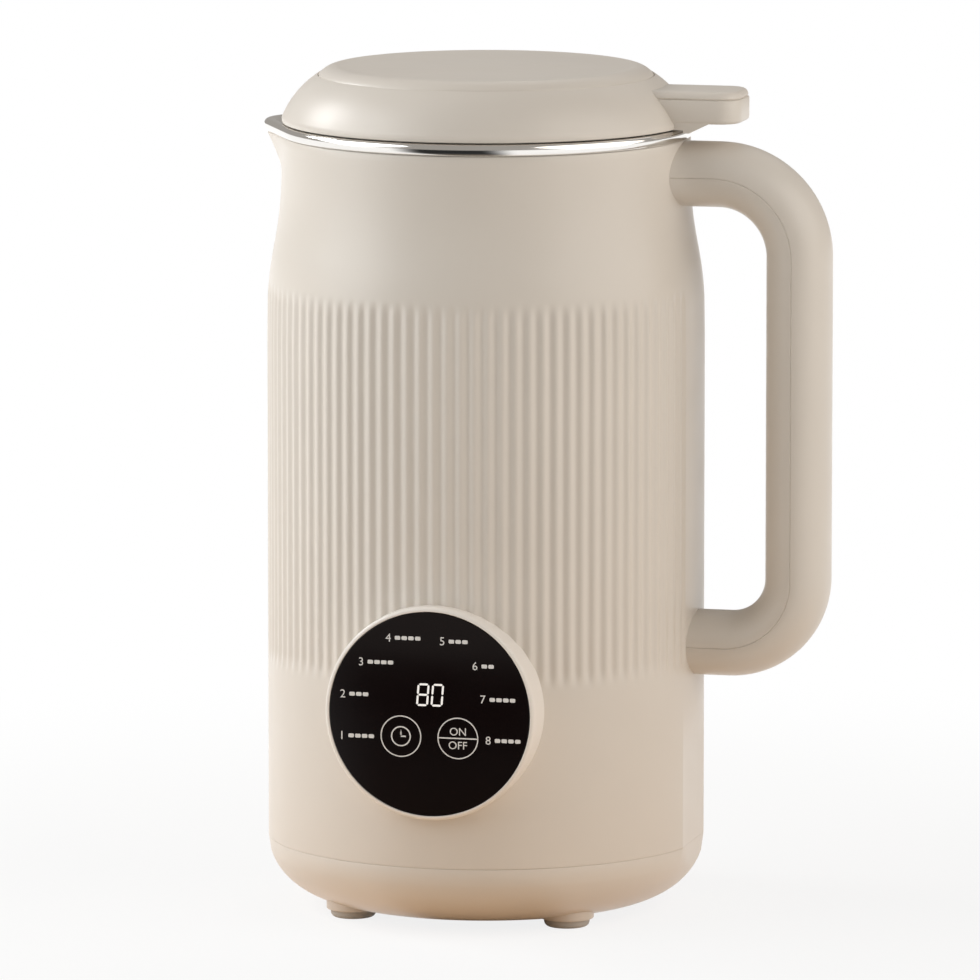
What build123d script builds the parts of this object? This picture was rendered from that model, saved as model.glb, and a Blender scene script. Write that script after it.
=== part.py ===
from build123d import *
import math
import os

# Nut milk maker: a heated blender jug with a side handle, a lift-off lid and a round touch panel.
# Millimetres, +Z up. The panel faces -Y, the handle is on +X and the spout on -X.
# Pieces are drawn about the jug's axis and moved at the end, so that the origin is the middle of
# the footprint's box.

# Fits and cuts
fit_gap = 0.1
lid_gap = 0.3
run_gap = 0.05
grip_gap = 0.02
overrun = 1.0

# Outer shell
body_radius = 62.5
shell_wall = 2.2
shell_height = 201.4
neck_inset = 4.2
neck_height = 9.9
shoulder_height = 42.0
spout_height = 18.0
spout_throw = 5.9
spout_nose_radius = 14.0
spout_wall = 1.6
spout_power = 1.6
spout_level_shares = (0.25, 0.5, 0.75, 1.0)

# Ribbed band on the shell
rib_count = 100
rib_depth = 0.6
rib_cutter_radius = 2.05
rib_length = 109.5
rib_rise = 51.5
plain_strip_angle = 10.0

# Flats on the shell's side: a plain one under the handle and one for the inlet at the back
flat_half_width = 13.5
flat_pad_wall = 4.5
handle_flat_height = 47.0
inlet_flat_height = 60.0

# Feet
foot_radius = 6.5
foot_lift = 2.3
foot_socket_depth = 1.2
foot_inset = 18.2
foot_seat_wall = 1.2
foot_edge_radius = 1.5
foot_sides = {"front_left": (-1, -1), "front_right": (1, -1), "rear_left": (-1, 1),
              "rear_right": (1, 1)}

# Base cover
base_height = 18.2
base_floor_wall = 2.6
base_edge_reach = 22.0
base_edge_height = 18.0
base_lip_height = 4.0
base_lip_wall = 2.0
vent_count = 16
vent_width = 2.4
vent_inner_radius = 11.0
vent_outer_radius = 27.0
base_boss_radius = 4.2
base_boss_rise = 12.0
boss_web_width = 2.0
base_screw_radius = 1.4
base_screw_head_radius = 2.7
base_screw_head_height = 2.2
base_screw_length = 12.0
base_screw_seat = 4.0

# Steel cup
cup_wall = 0.8
cup_gap = 1.3
cup_corner_radius = 12.0
cup_spout_gap = 0.3
rim_height = 3.5
rim_overhang = 0.75
rim_edge_wall = 1.5
rim_round = 1.4

# Motor stack, from the base cover's floor up
fan_floor_gap = 3.2
fan_radius = 26.0
fan_height = 9.0
fan_disc_height = 1.6
fan_hub_radius = 8.0
fan_blade_count = 9
fan_blade_width = 1.4
fan_bracket_gap = 2.0
bearing_radius = 11.0
bearing_height = 7.0
bearing_shield_depth = 0.3
bearing_seat_wall = 2.5
bracket_thickness = 3.0
bracket_leg_inner = 26.8
bracket_leg_angle = 24.0
bracket_leg_angles = (45, 135, 225, 315)
lower_leg_height = 7.0
stator_radius = 31.0
stator_height = 24.0
stator_bore = 18.5
slot_depth = 6.8
slot_half_angle = 36.0
slot_angles = (0, 180)
upper_leg_height = 18.0
upper_bracket_radius = 44.0
shaft_radius = 4.0
air_gap = 0.5
armature_slot_count = 12
armature_slot_width = 2.4
armature_slot_depth = 4.5
winding_overhang = 5.5
winding_gap = 0.3
winding_leg_start = 4.0
armature_winding_radius = 16.0
armature_winding_height = 5.0
commutator_radius = 11.0
commutator_height = 10.0
commutator_bar_count = 24
commutator_slot_width = 0.5
commutator_slot_depth = 1.0
commutator_gap = 1.5
brush_half_width = 3.0
brush_height = 6.0
brush_length = 14.0
brush_holder_wall = 1.5
brush_holder_length = 19.0
brush_track_gap = 0.3
brush_holder_gap = 1.5
motor_screw_radius = 1.7
motor_screw_head_radius = 3.2
motor_screw_head_height = 2.2

# Heating and sensing under the cup's floor
standoff_length = 13.0
standoff_radius = 3.0
standoff_circle_radius = 38.0
standoff_angles = (90, 210, 330)
heating_plate_thickness = 4.0
heating_plate_margin = 0.5
heating_plate_bore = 17.0
heater_circle_radius = 30.0
heater_tube_radius = 3.25
heater_open_angle = 60.0
heater_end_angle = 16.0
heater_leg_length = 6.0
heater_terminal_length = 5.0
heater_terminal_width = 4.0
heater_terminal_thickness = 0.8
cutout_radius = 7.5
cutout_height = 7.0
cutout_tab_length = 4.0
cutout_tab_offset = 4.0
cutout_tab_width = 4.0
cutout_tab_thickness = 0.8
probe_radius = 2.5
probe_circle_radius = 21.8
probe_rise = 4.0
probe_drop = 6.0
probe_flange_radius = 4.0
probe_flange_height = 1.0
overflow_pin_radius = 1.8
overflow_pin_reach = 3.0
overflow_pin_drop = 26.0
overflow_flange_radius = 4.2
overflow_flange_height = 0.6

# Shaft seal through the cup's floor
seal_flange_radius = 13.0
seal_flange_height = 2.0
seal_thread_radius = 9.5
seal_thread_length = 9.0
seal_neck_radius = 10.5
seal_neck_height = 2.5
seal_ring_radius = 7.5
seal_ring_height = 3.8
seal_bore_gap = 0.3
seal_nut_across = 26.0
seal_nut_height = 4.5

# Blades
spacer_radius = 7.0
spacer_height = 4.0
spacer_lift = 0.5
blade_thickness = 1.6
blade_hub_radius = 6.5
blade_root_width = 10.0
blade_tip_width = 5.0
blade_reach = 21.0
blade_bend_start = 9.0
blade_bend_angle = 30.0
washer_height = 1.5
blade_nut_across = 11.0
blade_nut_height = 4.5
blade_nut_dome = 2.0

# Panel
panel_rise = 44.8
bezel_radius = 30.3
bezel_proud = 4.5
bezel_seat_depth = 9.5
bezel_bore = 28.0
bezel_round = 0.8
glass_radius = 29.0
glass_thickness = 2.0
glass_sink = 0.2
land_bore = 25.0
land_depth = 4.5
board_thickness = 1.6
catch_depth = 1.2
catch_height = 1.4
catch_angle = 14.0
catch_count = 3
touch_spring_radius = 2.4
touch_spring_wall = 0.6
touch_ring_radius = 21.7
touch_ring_angles = (-18, 14, 39, 70, 110, 138, 167, 198)
touch_pair_offset = 8.25
touch_pair_drop = 6.55
readout_width = 17.0
readout_height = 10.0
readout_rise = 5.5
board_plug_width = 10.0
board_plug_height = 5.0
board_plug_depth = 3.5

# Power board beside the motor
power_board_width = 58.0
power_board_height = 50.0
power_board_margin = 0.6
board_slot_depth = 2.0
board_slot_wall = 2.0
board_slot_rise = 10.0
relay_size = (15.0, 19.0, 15.5)
transformer_size = (11.0, 24.0, 20.0)
capacitor_radius = 5.0
capacitor_length = 16.0
relay_share = 0.28
transformer_share = 0.72
capacitor_share = 0.30
side_share = 0.24

# Inlet at the back, standing upright
inlet_rise = 20.5
inlet_flange_width = 24.0
inlet_flange_height = 31.0
inlet_flange_depth = 1.4
inlet_flange_round = 3.0
inlet_body_width = 19.6
inlet_body_height = 27.4
inlet_body_depth = 17.5
inlet_cavity_width = 16.4
inlet_cavity_height = 24.4
inlet_cavity_depth = 15.5
inlet_cavity_chamfer = 4.0
pin_width = 4.0
pin_thickness = 2.0
pin_length = 14.0
pin_tail = 5.0
pin_spread = 7.0
pin_offset = 2.0

# Handle
handle_top_drop = 9.5
handle_span = 134.3
handle_standoff = 29.0
handle_thickness = 18.6
handle_width = 24.0
handle_wall = 2.4
handle_root_depth = 12.5
handle_upper_bend_radius = 23.0
handle_lower_bend_radius = 19.5
handle_seam_gap = 0.1
plug_end_wall = 0.7
handle_screw_radius = 1.3
handle_screw_head_radius = 2.5
handle_screw_head_height = 1.1
handle_screw_length = 9.0
handle_screw_spread = 4.0
handle_screw_sink = 0.8
reed_length = 9.0
reed_width = 5.0
reed_height = 3.0
reed_wall_gap = 3.0
reed_lift = 5.0

# Lid
lid_edge_inset = 0.85
lid_wall = 2.0
lid_skirt_height = 1.4
lid_shoulder_height = 12.2
lid_shoulder_width = 10.4
lid_shoulder_bulge = 1.2
lid_inner_bulge = 2.2
cap_seat_drop = 0.8
cap_seat_width = 4.0
cap_seat_wall = 1.8
cap_side_height = 0.6
cap_edge_height = 2.6
cap_edge_width = 6.1
cap_edge_bulge = 0.9
cap_crown = 0.6
cap_hollow = 1.4
cap_hollow_inset = 5.5
plate_inset = 1.5
plate_wall = 1.5
plate_drop = 9.0
plate_flange_thickness = 1.2
seal_height = 3.6
seal_groove = 0.5
seal_groove_rise = 3.2
seal_bead = 0.5
seal_bead_height = 1.0
lid_post_radius = 3.0
lid_post_inset = 5.3
lid_post_angles = (60, 180, 300)
lid_screw_radius = 1.2
lid_screw_head_radius = 2.4
lid_screw_head_height = 1.4
lid_screw_length = 9.0

# Thumb tab over the handle
tab_overhang = 17.4
tab_width = 22.0
tab_corner_radius = 6.5
tab_base_thickness = 6.8
tab_top_thickness = 2.3
tab_top_round = 1.9
tab_top_inset = 0.3
tab_rise = 8.7
gusset_top_overhang = 9.0
gusset_low_overhang = 3.4
gusset_drop = 0.8
gusset_wall_gap = 0.8
magnet_radius = 4.0
magnet_height = 3.6
magnet_overhang = 10.3

# Levels, worked out from the sizes above
underside_z = foot_lift
base_floor_z = underside_z + base_floor_wall
seam_z = underside_z + base_height
shell_top_z = seam_z + shell_height
neck_low_z = shell_top_z - neck_height
shoulder_low_z = neck_low_z - shoulder_height
spout_low_z = shell_top_z - spout_height
rim_top_z = shell_top_z + rim_height
fan_low_z = base_floor_z + fan_floor_gap
fan_top_z = fan_low_z + fan_height
lower_seat_z = fan_top_z + fan_bracket_gap
lower_bracket_z = lower_seat_z + bearing_height - bracket_thickness
lower_bracket_top_z = lower_seat_z + bearing_height
stack_low_z = lower_bracket_top_z + lower_leg_height
stack_top_z = stack_low_z + stator_height
upper_bracket_z = stack_top_z + upper_leg_height
upper_bracket_top_z = upper_bracket_z + bracket_thickness
upper_seat_z = upper_bracket_z + bearing_seat_wall
plate_low_z = upper_bracket_top_z + standoff_length
floor_under_z = plate_low_z + heating_plate_thickness
floor_z = floor_under_z + cup_wall
panel_z = seam_z + panel_rise
inlet_z = seam_z + inlet_rise
upper_arm_z = shell_top_z - handle_top_drop
lower_arm_z = upper_arm_z - handle_span
lid_low_z = rim_top_z + lid_gap
lid_seam_z = lid_low_z + lid_skirt_height + lid_shoulder_height
tab_split_z = lid_low_z + tab_rise

# Radii, worked out from the sizes above
neck_radius = body_radius - neck_inset
spout_reach = neck_radius + spout_throw
shell_inner_radius = body_radius - shell_wall
neck_inner_radius = neck_radius - shell_wall
shell_spout_inner_reach = spout_reach - spout_wall
cup_outer_radius = neck_inner_radius - cup_gap
cup_radius = cup_outer_radius - cup_wall
cup_spout_outer_reach = shell_spout_inner_reach - cup_spout_gap
cup_spout_reach = cup_spout_outer_reach - cup_wall
rim_radius = neck_radius + rim_overhang
rim_reach = spout_reach + rim_overhang
flat_distance = math.sqrt(body_radius ** 2 - flat_half_width ** 2)
foot_circle_radius = body_radius - foot_inset
heating_plate_radius = cup_radius - cup_corner_radius - heating_plate_margin
panel_reach = body_radius + bezel_proud
handle_reach = body_radius + handle_standoff
handle_root_reach = body_radius - handle_root_depth
reed_reach = neck_radius + reed_wall_gap + reed_length / 2
plug_reach = reed_reach + reed_length / 2 + plug_end_wall
lid_radius = rim_radius - lid_edge_inset
lid_seam_radius = lid_radius - lid_shoulder_width
plate_radius = cup_radius - plate_inset
lid_post_circle_radius = plate_radius - lid_post_inset
tab_reach = lid_radius + tab_overhang
gusset_top_reach = lid_radius + gusset_top_overhang
gusset_low_reach = lid_radius + gusset_low_overhang
magnet_reach = lid_radius + magnet_overhang
armature_radius = stator_bore - air_gap
coil_outer = stator_bore + slot_depth

# The footprint's middle, seen from the jug's axis
handle_outer_reach = handle_reach + handle_thickness / 2
centre_x = (handle_outer_reach - rim_reach) / 2
centre_y = (body_radius - panel_reach) / 2


def disc(radius, low, high, x=0, y=0):
    """Upright cylinder between two levels."""
    return Pos(x, y, low) * extrude(Circle(radius), high - low)


def ring(outer, inner, low, high):
    """Upright tube between two levels."""
    return disc(outer, low, high) - disc(inner, low - overrun, high + overrun)


def block(x_range, y_range, z_range):
    """Box between three pairs of coordinates."""
    spans = [pair[1] - pair[0] for pair in (x_range, y_range, z_range)]
    return Pos(x_range[0], y_range[0], z_range[0]) * Box(*spans, align=Align.MIN)


def middle(size, centre=0):
    """Pair of coordinates for a size about a centre."""
    return (centre - size / 2, centre + size / 2)


def around(radius, angle):
    """Point on a circle about the jug's axis."""
    return (radius * math.cos(math.radians(angle)), radius * math.sin(math.radians(angle)))


def turned(edges, arc=360):
    """Solid of revolution about the jug's axis from a closed profile in the XZ plane."""
    return revolve(make_face(edges), Axis.Z, revolution_arc=arc)


def turned_polygon(points, arc=360):
    """Solid of revolution from (radius, height) corners."""
    corners = [(radius, 0, height) for radius, height in points]
    return turned(Polyline(*corners, close=True), arc)


def sector(outer, inner, start, end, low, high):
    """Part of an upright tube between two angles."""
    corners = [(inner, low), (outer, low), (outer, high), (inner, high)]
    return Rot(0, 0, start) * turned_polygon(corners, end - start)


def hexagon(across, low, high, bore):
    """Hexagonal nut with a plain bore."""
    nut = Pos(0, 0, low) * extrude(RegularPolygon(across / 2, 6, major_radius=False), high - low)
    return nut - disc(bore, low - overrun, high + overrun)


def polar(shape, angles):
    """Copies of a shape turned about the jug's axis."""
    return [Rot(0, 0, angle) * shape for angle in angles]


def even_angles(count):
    return [360 * index / count for index in range(count)]


def body_form(inset):
    """Solid under the shell's outer skin, without the spout, drawn in by an inset."""
    wide = body_radius - inset
    slim = neck_radius - inset
    middle_radius = (wide + slim) / 2
    middle_z = (shoulder_low_z + neck_low_z) / 2
    edges = [
        Line((0, 0, seam_z), (wide, 0, seam_z)),
        Line((wide, 0, seam_z), (wide, 0, shoulder_low_z)),
        TangentArc((wide, 0, shoulder_low_z), (middle_radius, 0, middle_z), tangent=(0, 0, 1)),
        TangentArc((slim, 0, neck_low_z), (middle_radius, 0, middle_z), tangent=(0, 0, -1)),
        Line((slim, 0, neck_low_z), (slim, 0, shell_top_z)),
        Line((slim, 0, shell_top_z), (0, 0, shell_top_z)),
        Line((0, 0, shell_top_z), (0, 0, seam_z)),
    ]
    return turned(edges)


def drop_edges(radius, reach, nose, level, round_nose=None):
    """Teardrop outline: a circle, two tangent flanks and a nose towards -X.

    With round_nose the flanks and the nose are bowed out onto the circle itself."""
    nose_x = reach - nose
    turn = math.acos((radius - nose) / nose_x)
    body_point = (radius * math.cos(turn), radius * math.sin(turn))
    nose_point = (nose_x + nose * math.cos(turn), nose * math.sin(turn))
    if round_nose:
        lean = math.atan2(nose_point[1], nose_point[0])
        half = (lean + turn) / 2
        nose_point = (radius * math.cos(lean), radius * math.sin(lean))
        flank_point = (radius * math.cos(half), radius * math.sin(half))
        reach = radius
    start = (-body_point[0], -body_point[1], level)
    end = (-body_point[0], body_point[1], level)
    nose_start = (-nose_point[0], nose_point[1], level)
    nose_end = (-nose_point[0], -nose_point[1], level)
    edges = [ThreePointArc(start, (radius, 0, level), end)]
    if round_nose:
        edges.append(ThreePointArc(end, (-flank_point[0], flank_point[1], level), nose_start))
    else:
        edges.append(Line(end, nose_start))
    edges.append(ThreePointArc(nose_start, (-reach, 0, level), nose_end))
    if round_nose:
        edges.append(ThreePointArc(nose_end, (-flank_point[0], -flank_point[1], level), start))
    else:
        edges.append(Line(nose_end, start))
    return edges


def drop_face(radius, reach, nose, level, round_nose=False):
    return make_face(drop_edges(radius, reach, nose, level, round_nose))


def spout_form(radius, reach, nose):
    """The neck's upper form, round at its foot and growing into the spout at the top."""
    sections = []
    for share in spout_level_shares:
        level = spout_low_z + spout_height * share
        level_reach = radius + (reach - radius) * share ** spout_power
        if not sections:
            sections.append(drop_face(radius, level_reach, nose, spout_low_z, round_nose=True))
        sections.append(drop_face(radius, level_reach, nose, level))
    return loft(sections, ruled=True)


def side_flats(high_plain, high_inlet, low):
    """Cutters for the plain flat under the handle and the inlet's flat at the back."""
    far = body_radius + overrun
    cutter = block((flat_distance, far), middle(2 * flat_half_width), (low, high_plain))
    rear = block((flat_distance, far), middle(2 * flat_half_width), (low, high_inlet))
    return [cutter, Rot(0, 0, 90) * rear]


def flat_pads(high_plain, high_inlet, low, form):
    """Thicker wall behind the flats, kept inside the shell's form."""
    near = flat_distance - flat_pad_wall + shell_wall
    far = body_radius
    width = 2 * (flat_half_width + shell_wall)
    front = block((near, far), middle(width), (low, high_plain + shell_wall))
    rear = block((near, far), middle(width), (low, high_inlet + shell_wall))
    return [front & form, (Rot(0, 0, 90) * rear) & form]


def rib_cutters():
    """One groove for each rib gap, left out in the plain strip behind the handle."""
    axis_distance = body_radius - rib_depth + rib_cutter_radius
    low = seam_z + rib_rise + rib_cutter_radius
    high = seam_z + rib_rise + rib_length - rib_cutter_radius
    groove = disc(rib_cutter_radius, low, high, axis_distance)
    groove += Pos(axis_distance, 0, low) * Sphere(rib_cutter_radius)
    groove += Pos(axis_distance, 0, high) * Sphere(rib_cutter_radius)
    angles = [angle for angle in even_angles(rib_count)
              if min(angle, 360 - angle) > plain_strip_angle]
    return polar(groove, angles)


def handle_screw_places():
    """Level, side offset and seat distance of each handle screw."""
    places = []
    for level, wall in ((upper_arm_z, neck_inner_radius), (lower_arm_z, shell_inner_radius)):
        for side in (-1, 1):
            places.append((level, side * handle_screw_spread, wall + handle_screw_sink))
    return places


def along_x(radius, low, high, z, y=0):
    """Cylinder along X between two distances."""
    return Pos(low, y, z) * (Rot(0, 90, 0) * extrude(Circle(radius), high - low))


def along_y(radius, low, high, x, z):
    """Cylinder along Y between two distances."""
    return Pos(x, high, z) * (Rot(90, 0, 0) * extrude(Circle(radius), high - low))


def on_diagonals(radius):
    """Four places on a circle, one on each diagonal, under the names of their corners."""
    return {name: around(radius, math.degrees(math.atan2(side_y, side_x)))
            for name, (side_x, side_y) in foot_sides.items()}


def base_bosses(low, high, radius):
    """Posts over the feet, for the screws that the feet hide."""
    return [disc(radius, low, high, x, y) for x, y in on_diagonals(foot_circle_radius).values()]


def boss_webs():
    """Upright webs that tie the shell's posts to its wall."""
    web = block((foot_circle_radius, shell_inner_radius + shell_wall / 2), middle(boss_web_width),
                (seam_z + base_lip_height + fit_gap, seam_z + base_boss_rise))
    return [Rot(0, 0, math.degrees(math.atan2(y, x))) * web
            for x, y in on_diagonals(foot_circle_radius).values()]


def make_outer_shell():
    form = body_form(0)
    hollow = body_form(shell_wall)
    plain_high = seam_z + handle_flat_height - base_height
    inlet_high = seam_z + inlet_flat_height - base_height
    shell = form + spout_form(neck_radius, spout_reach, spout_nose_radius)
    shell -= hollow
    shell -= spout_form(neck_inner_radius, shell_spout_inner_reach, spout_nose_radius - spout_wall)
    shell += flat_pads(plain_high, inlet_high, seam_z + base_lip_height + fit_gap, form)
    shell -= side_flats(plain_high, inlet_high, seam_z - overrun)
    bosses = base_bosses(seam_z, seam_z + base_boss_rise, base_boss_radius)
    shell += bosses + boss_webs()
    shell -= base_bosses(seam_z - overrun, seam_z + base_boss_rise - base_floor_wall,
                         base_screw_radius + fit_gap)
    shell -= rib_cutters()
    shell -= along_y(bezel_radius + fit_gap, -panel_reach - overrun, 0, 0, panel_z)
    inlet_hole = block(middle(inlet_body_width + 2 * fit_gap), (0, body_radius + overrun),
                       middle(inlet_body_height + 2 * fit_gap, inlet_z))
    shell -= inlet_hole
    for level, side, seat in handle_screw_places():
        shell -= along_x(handle_screw_radius + fit_gap, 0, body_radius + overrun, level, side)
        shell -= along_x(handle_screw_head_radius + fit_gap, 0, seat, level, side)
    return shell


def make_inner_cup():
    outer_corner = cup_corner_radius + cup_wall
    body = cup_profile(cup_outer_radius, outer_corner, floor_under_z)
    body += spout_form(cup_outer_radius, cup_spout_outer_reach, spout_nose_radius - spout_wall
                       - cup_spout_gap)
    rim_nose = spout_nose_radius + rim_overhang
    rim = extrude(drop_face(rim_radius, rim_reach, rim_nose, shell_top_z), rim_height)
    rim = fillet(rim.edges().group_by(Axis.Z)[-1] + rim.edges().group_by(Axis.Z)[0], rim_round)
    body += rim
    inner_nose = spout_nose_radius - spout_wall - cup_spout_gap - cup_wall
    body -= cup_profile(cup_radius, cup_corner_radius, floor_z)
    body -= spout_form(cup_radius, cup_spout_reach, inner_nose)
    mouth = [drop_face(cup_radius, cup_spout_reach, inner_nose, shell_top_z),
             drop_face(cup_radius, rim_reach - rim_edge_wall, inner_nose, rim_top_z),
             drop_face(cup_radius, rim_reach - rim_edge_wall, inner_nose, rim_top_z + overrun)]
    body -= loft(mouth, ruled=True)
    body -= disc(seal_thread_radius + fit_gap, floor_under_z - overrun, floor_z + overrun)
    body -= disc(probe_radius + fit_gap, floor_under_z - overrun, floor_z + overrun,
                 probe_circle_radius)
    body -= along_x(overflow_pin_radius + fit_gap, 0, cup_outer_radius + overrun,
                    shell_top_z - overflow_pin_drop)
    return body


def cup_profile(radius, corner, low):
    """Round-cornered pot from a level up to the spout's foot."""
    edges = [
        Line((0, 0, low), (radius - corner, 0, low)),
        TangentArc((radius - corner, 0, low), (radius, 0, low + corner), tangent=(1, 0, 0)),
        Line((radius, 0, low + corner), (radius, 0, spout_low_z)),
        Line((radius, 0, spout_low_z), (0, 0, spout_low_z)),
        Line((0, 0, spout_low_z), (0, 0, low)),
    ]
    return turned(edges)


def base_edge(radius, low, top):
    """Quarter of an ellipse, from the underside out and up to the side."""
    reach = radius - (body_radius - base_edge_reach)
    return Plane.XZ * EllipticalCenterArc((radius - reach, top), reach, top - low,
                                          start_angle=-90, arc_size=90)


def base_form():
    """Solid under the base cover's outer skin."""
    edge_start = body_radius - base_edge_reach
    edge_top = underside_z + base_edge_height
    edges = [
        Line((0, 0, underside_z), (edge_start, 0, underside_z)),
        base_edge(body_radius, underside_z, edge_top),
        Line((body_radius, 0, edge_top), (body_radius, 0, seam_z)),
        Line((body_radius, 0, seam_z), (0, 0, seam_z)),
        Line((0, 0, seam_z), (0, 0, underside_z)),
    ]
    return turned(edges)


def base_hollow():
    edge_start = body_radius - base_edge_reach
    edge_top = underside_z + base_edge_height
    edges = [
        Line((0, 0, base_floor_z), (edge_start, 0, base_floor_z)),
        base_edge(shell_inner_radius, base_floor_z, edge_top),
        Line((shell_inner_radius, 0, edge_top), (shell_inner_radius, 0, seam_z + overrun)),
        Line((shell_inner_radius, 0, seam_z + overrun), (0, 0, seam_z + overrun)),
        Line((0, 0, seam_z + overrun), (0, 0, base_floor_z)),
    ]
    return turned(edges)


def board_faces():
    """Outer and inner distance of the power board from the axis, along -X."""
    corner = shell_inner_radius - fit_gap - base_lip_wall - power_board_margin
    outer = math.sqrt(corner ** 2 - (power_board_width / 2) ** 2)
    return outer, outer - board_thickness


def board_slots():
    """Two slotted posts that hold the power board's lower corners."""
    outer, inner = board_faces()
    post_top = base_floor_z + board_slot_rise
    posts = []
    slots = []
    for side in (-1, 1):
        centre = side * (power_board_width / 2 - board_slot_wall)
        posts.append(block((-outer - board_slot_wall, -inner + board_slot_wall),
                           middle(2 * board_slot_wall, centre), (underside_z, post_top)))
        slots.append(block((-outer - fit_gap, -inner + fit_gap),
                           middle(2 * board_slot_wall + 2 * overrun, centre),
                           (post_top - board_slot_depth, post_top + overrun)))
    return posts, slots


def make_base_cover():
    form = base_form()
    cover = form - base_hollow()
    lip_inner = shell_inner_radius - fit_gap - base_lip_wall
    cover += ring(shell_inner_radius + fit_gap, lip_inner, seam_z - base_lip_height, seam_z)
    lip = ring(shell_inner_radius - fit_gap, lip_inner, seam_z, seam_z + base_lip_height)
    cover += lip
    cover += base_bosses(underside_z, seam_z, base_boss_radius)
    cover += flat_pads(seam_z - shell_wall, seam_z - shell_wall, underside_z, form)
    cover -= side_flats(seam_z, seam_z, underside_z - overrun)
    posts, slots = board_slots()
    cover += [post & form for post in posts]
    cover -= slots
    seat = seam_z - base_screw_seat
    cover += base_bosses(underside_z, base_floor_z + foot_seat_wall, foot_radius + foot_seat_wall)
    cover -= base_bosses(underside_z - overrun, seat, base_screw_head_radius + fit_gap)
    cover -= base_bosses(underside_z, seam_z + overrun, base_screw_radius + fit_gap)
    for x, y in on_diagonals(foot_circle_radius).values():
        cover -= disc(foot_radius + fit_gap, underside_z - overrun, underside_z + foot_socket_depth,
                      x, y)
    vent_length = vent_outer_radius - vent_inner_radius
    vent = SlotCenterToCenter(vent_length - vent_width, vent_width)
    vent_middle = (vent_outer_radius + vent_inner_radius) / 2
    depth = base_floor_wall + 2 * overrun
    vent = Pos(vent_middle, 0, underside_z - overrun) * extrude(vent, depth)
    cover -= polar(vent, even_angles(vent_count))
    return cover


def make_foot(x, y):
    foot = disc(foot_radius, 0, underside_z + foot_socket_depth, x, y)
    return fillet(foot.edges().group_by(Axis.Z)[0], foot_edge_radius)


def make_base_screws():
    seat = seam_z - base_screw_seat
    screws = []
    for x, y in on_diagonals(foot_circle_radius).values():
        screw = disc(base_screw_head_radius, seat - base_screw_head_height, seat, x, y)
        screw += disc(base_screw_radius, seat, seat + base_screw_length, x, y)
        screws.append(screw)
    return screws


def bracket_legs(low, high):
    half = bracket_leg_angle / 2
    return [sector(stator_radius, bracket_leg_inner, angle - half, angle + half, low, high)
            for angle in bracket_leg_angles]


def make_lower_bracket():
    """Spoked bridge with the bearing's seat in its middle and four legs under the stator."""
    seat_radius = bearing_radius + bearing_seat_wall
    bridge = disc(stator_radius, lower_bracket_z, lower_bracket_top_z)
    bridge -= [sector(bracket_leg_inner, seat_radius, angle - bracket_leg_angle,
                      angle + bracket_leg_angle, lower_bracket_z - overrun,
                      lower_bracket_top_z + overrun) for angle in bracket_leg_angles]
    bridge -= motor_screw_holes(lower_bracket_z, lower_bracket_top_z)
    bridge += bracket_legs(lower_bracket_top_z, stack_low_z)
    bridge += disc(seat_radius, lower_seat_z, lower_bracket_top_z)
    return bridge - disc(bearing_radius + grip_gap, lower_seat_z - overrun,
                         lower_bracket_top_z + overrun)


def motor_screw_places():
    distance = (coil_outer + stator_radius) / 2
    return [(0, -distance), (0, distance)]


def motor_screw_holes(low, high):
    return [disc(motor_screw_radius + fit_gap, low - overrun, high + overrun, x, y)
            for x, y in motor_screw_places()]


def make_motor_screws():
    screws = []
    for x, y in motor_screw_places():
        screw = disc(motor_screw_head_radius, lower_bracket_z - motor_screw_head_height,
                     lower_bracket_z, x, y)
        screw += disc(motor_screw_radius, lower_bracket_z, upper_bracket_top_z, x, y)
        screws.append(screw)
    return screws


def make_upper_bracket():
    seat_radius = bearing_radius + bearing_seat_wall
    bracket = disc(upper_bracket_radius, upper_bracket_z, upper_bracket_top_z)
    bracket += disc(seat_radius, upper_bracket_z, upper_seat_z + bearing_height)
    bracket += bracket_legs(stack_top_z, upper_bracket_z)
    bracket -= disc(bearing_radius + grip_gap, upper_seat_z, upper_bracket_top_z + bearing_height)
    bracket -= disc(shaft_radius + fit_gap + run_gap, upper_bracket_z - overrun, upper_seat_z
                    + overrun)
    bracket -= motor_screw_holes(upper_bracket_z, upper_bracket_top_z)
    return bracket


def make_bearing(low):
    """Race and shields as one ring with a shallow step on both faces."""
    high = low + bearing_height
    race = ring(bearing_radius, shaft_radius + run_gap, low, high)
    third = (bearing_radius - shaft_radius) / 3
    outer = bearing_radius - third
    inner = shaft_radius + third
    race -= ring(outer, inner, low - overrun, low + bearing_shield_depth)
    race -= ring(outer, inner, high - bearing_shield_depth, high + overrun)
    return race


def make_stator_core():
    core = ring(stator_radius, stator_bore, stack_low_z, stack_top_z)
    for middle_angle in slot_angles:
        core -= sector(coil_outer, stator_bore - overrun, middle_angle - slot_half_angle,
                       middle_angle + slot_half_angle, stack_low_z - overrun,
                       stack_top_z + overrun)
    core -= motor_screw_holes(stack_low_z, stack_top_z)
    return core


def make_stator_windings():
    """Two coils, each round one pole, with its end turns over and under the stack."""
    gap_angle = math.degrees(winding_gap / stator_bore)
    inner = stator_bore + winding_gap
    outer = coil_outer - winding_gap
    low = stack_low_z - winding_overhang
    high = stack_top_z + winding_overhang
    coil = sector(outer, inner, winding_leg_start, 180 - winding_leg_start, low, high)
    coil -= sector(outer + overrun, inner - overrun, slot_half_angle - gap_angle,
                   180 - slot_half_angle + gap_angle, stack_low_z - winding_gap,
                   stack_top_z + winding_gap)
    return [coil, Rot(0, 0, 180) * coil]


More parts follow.
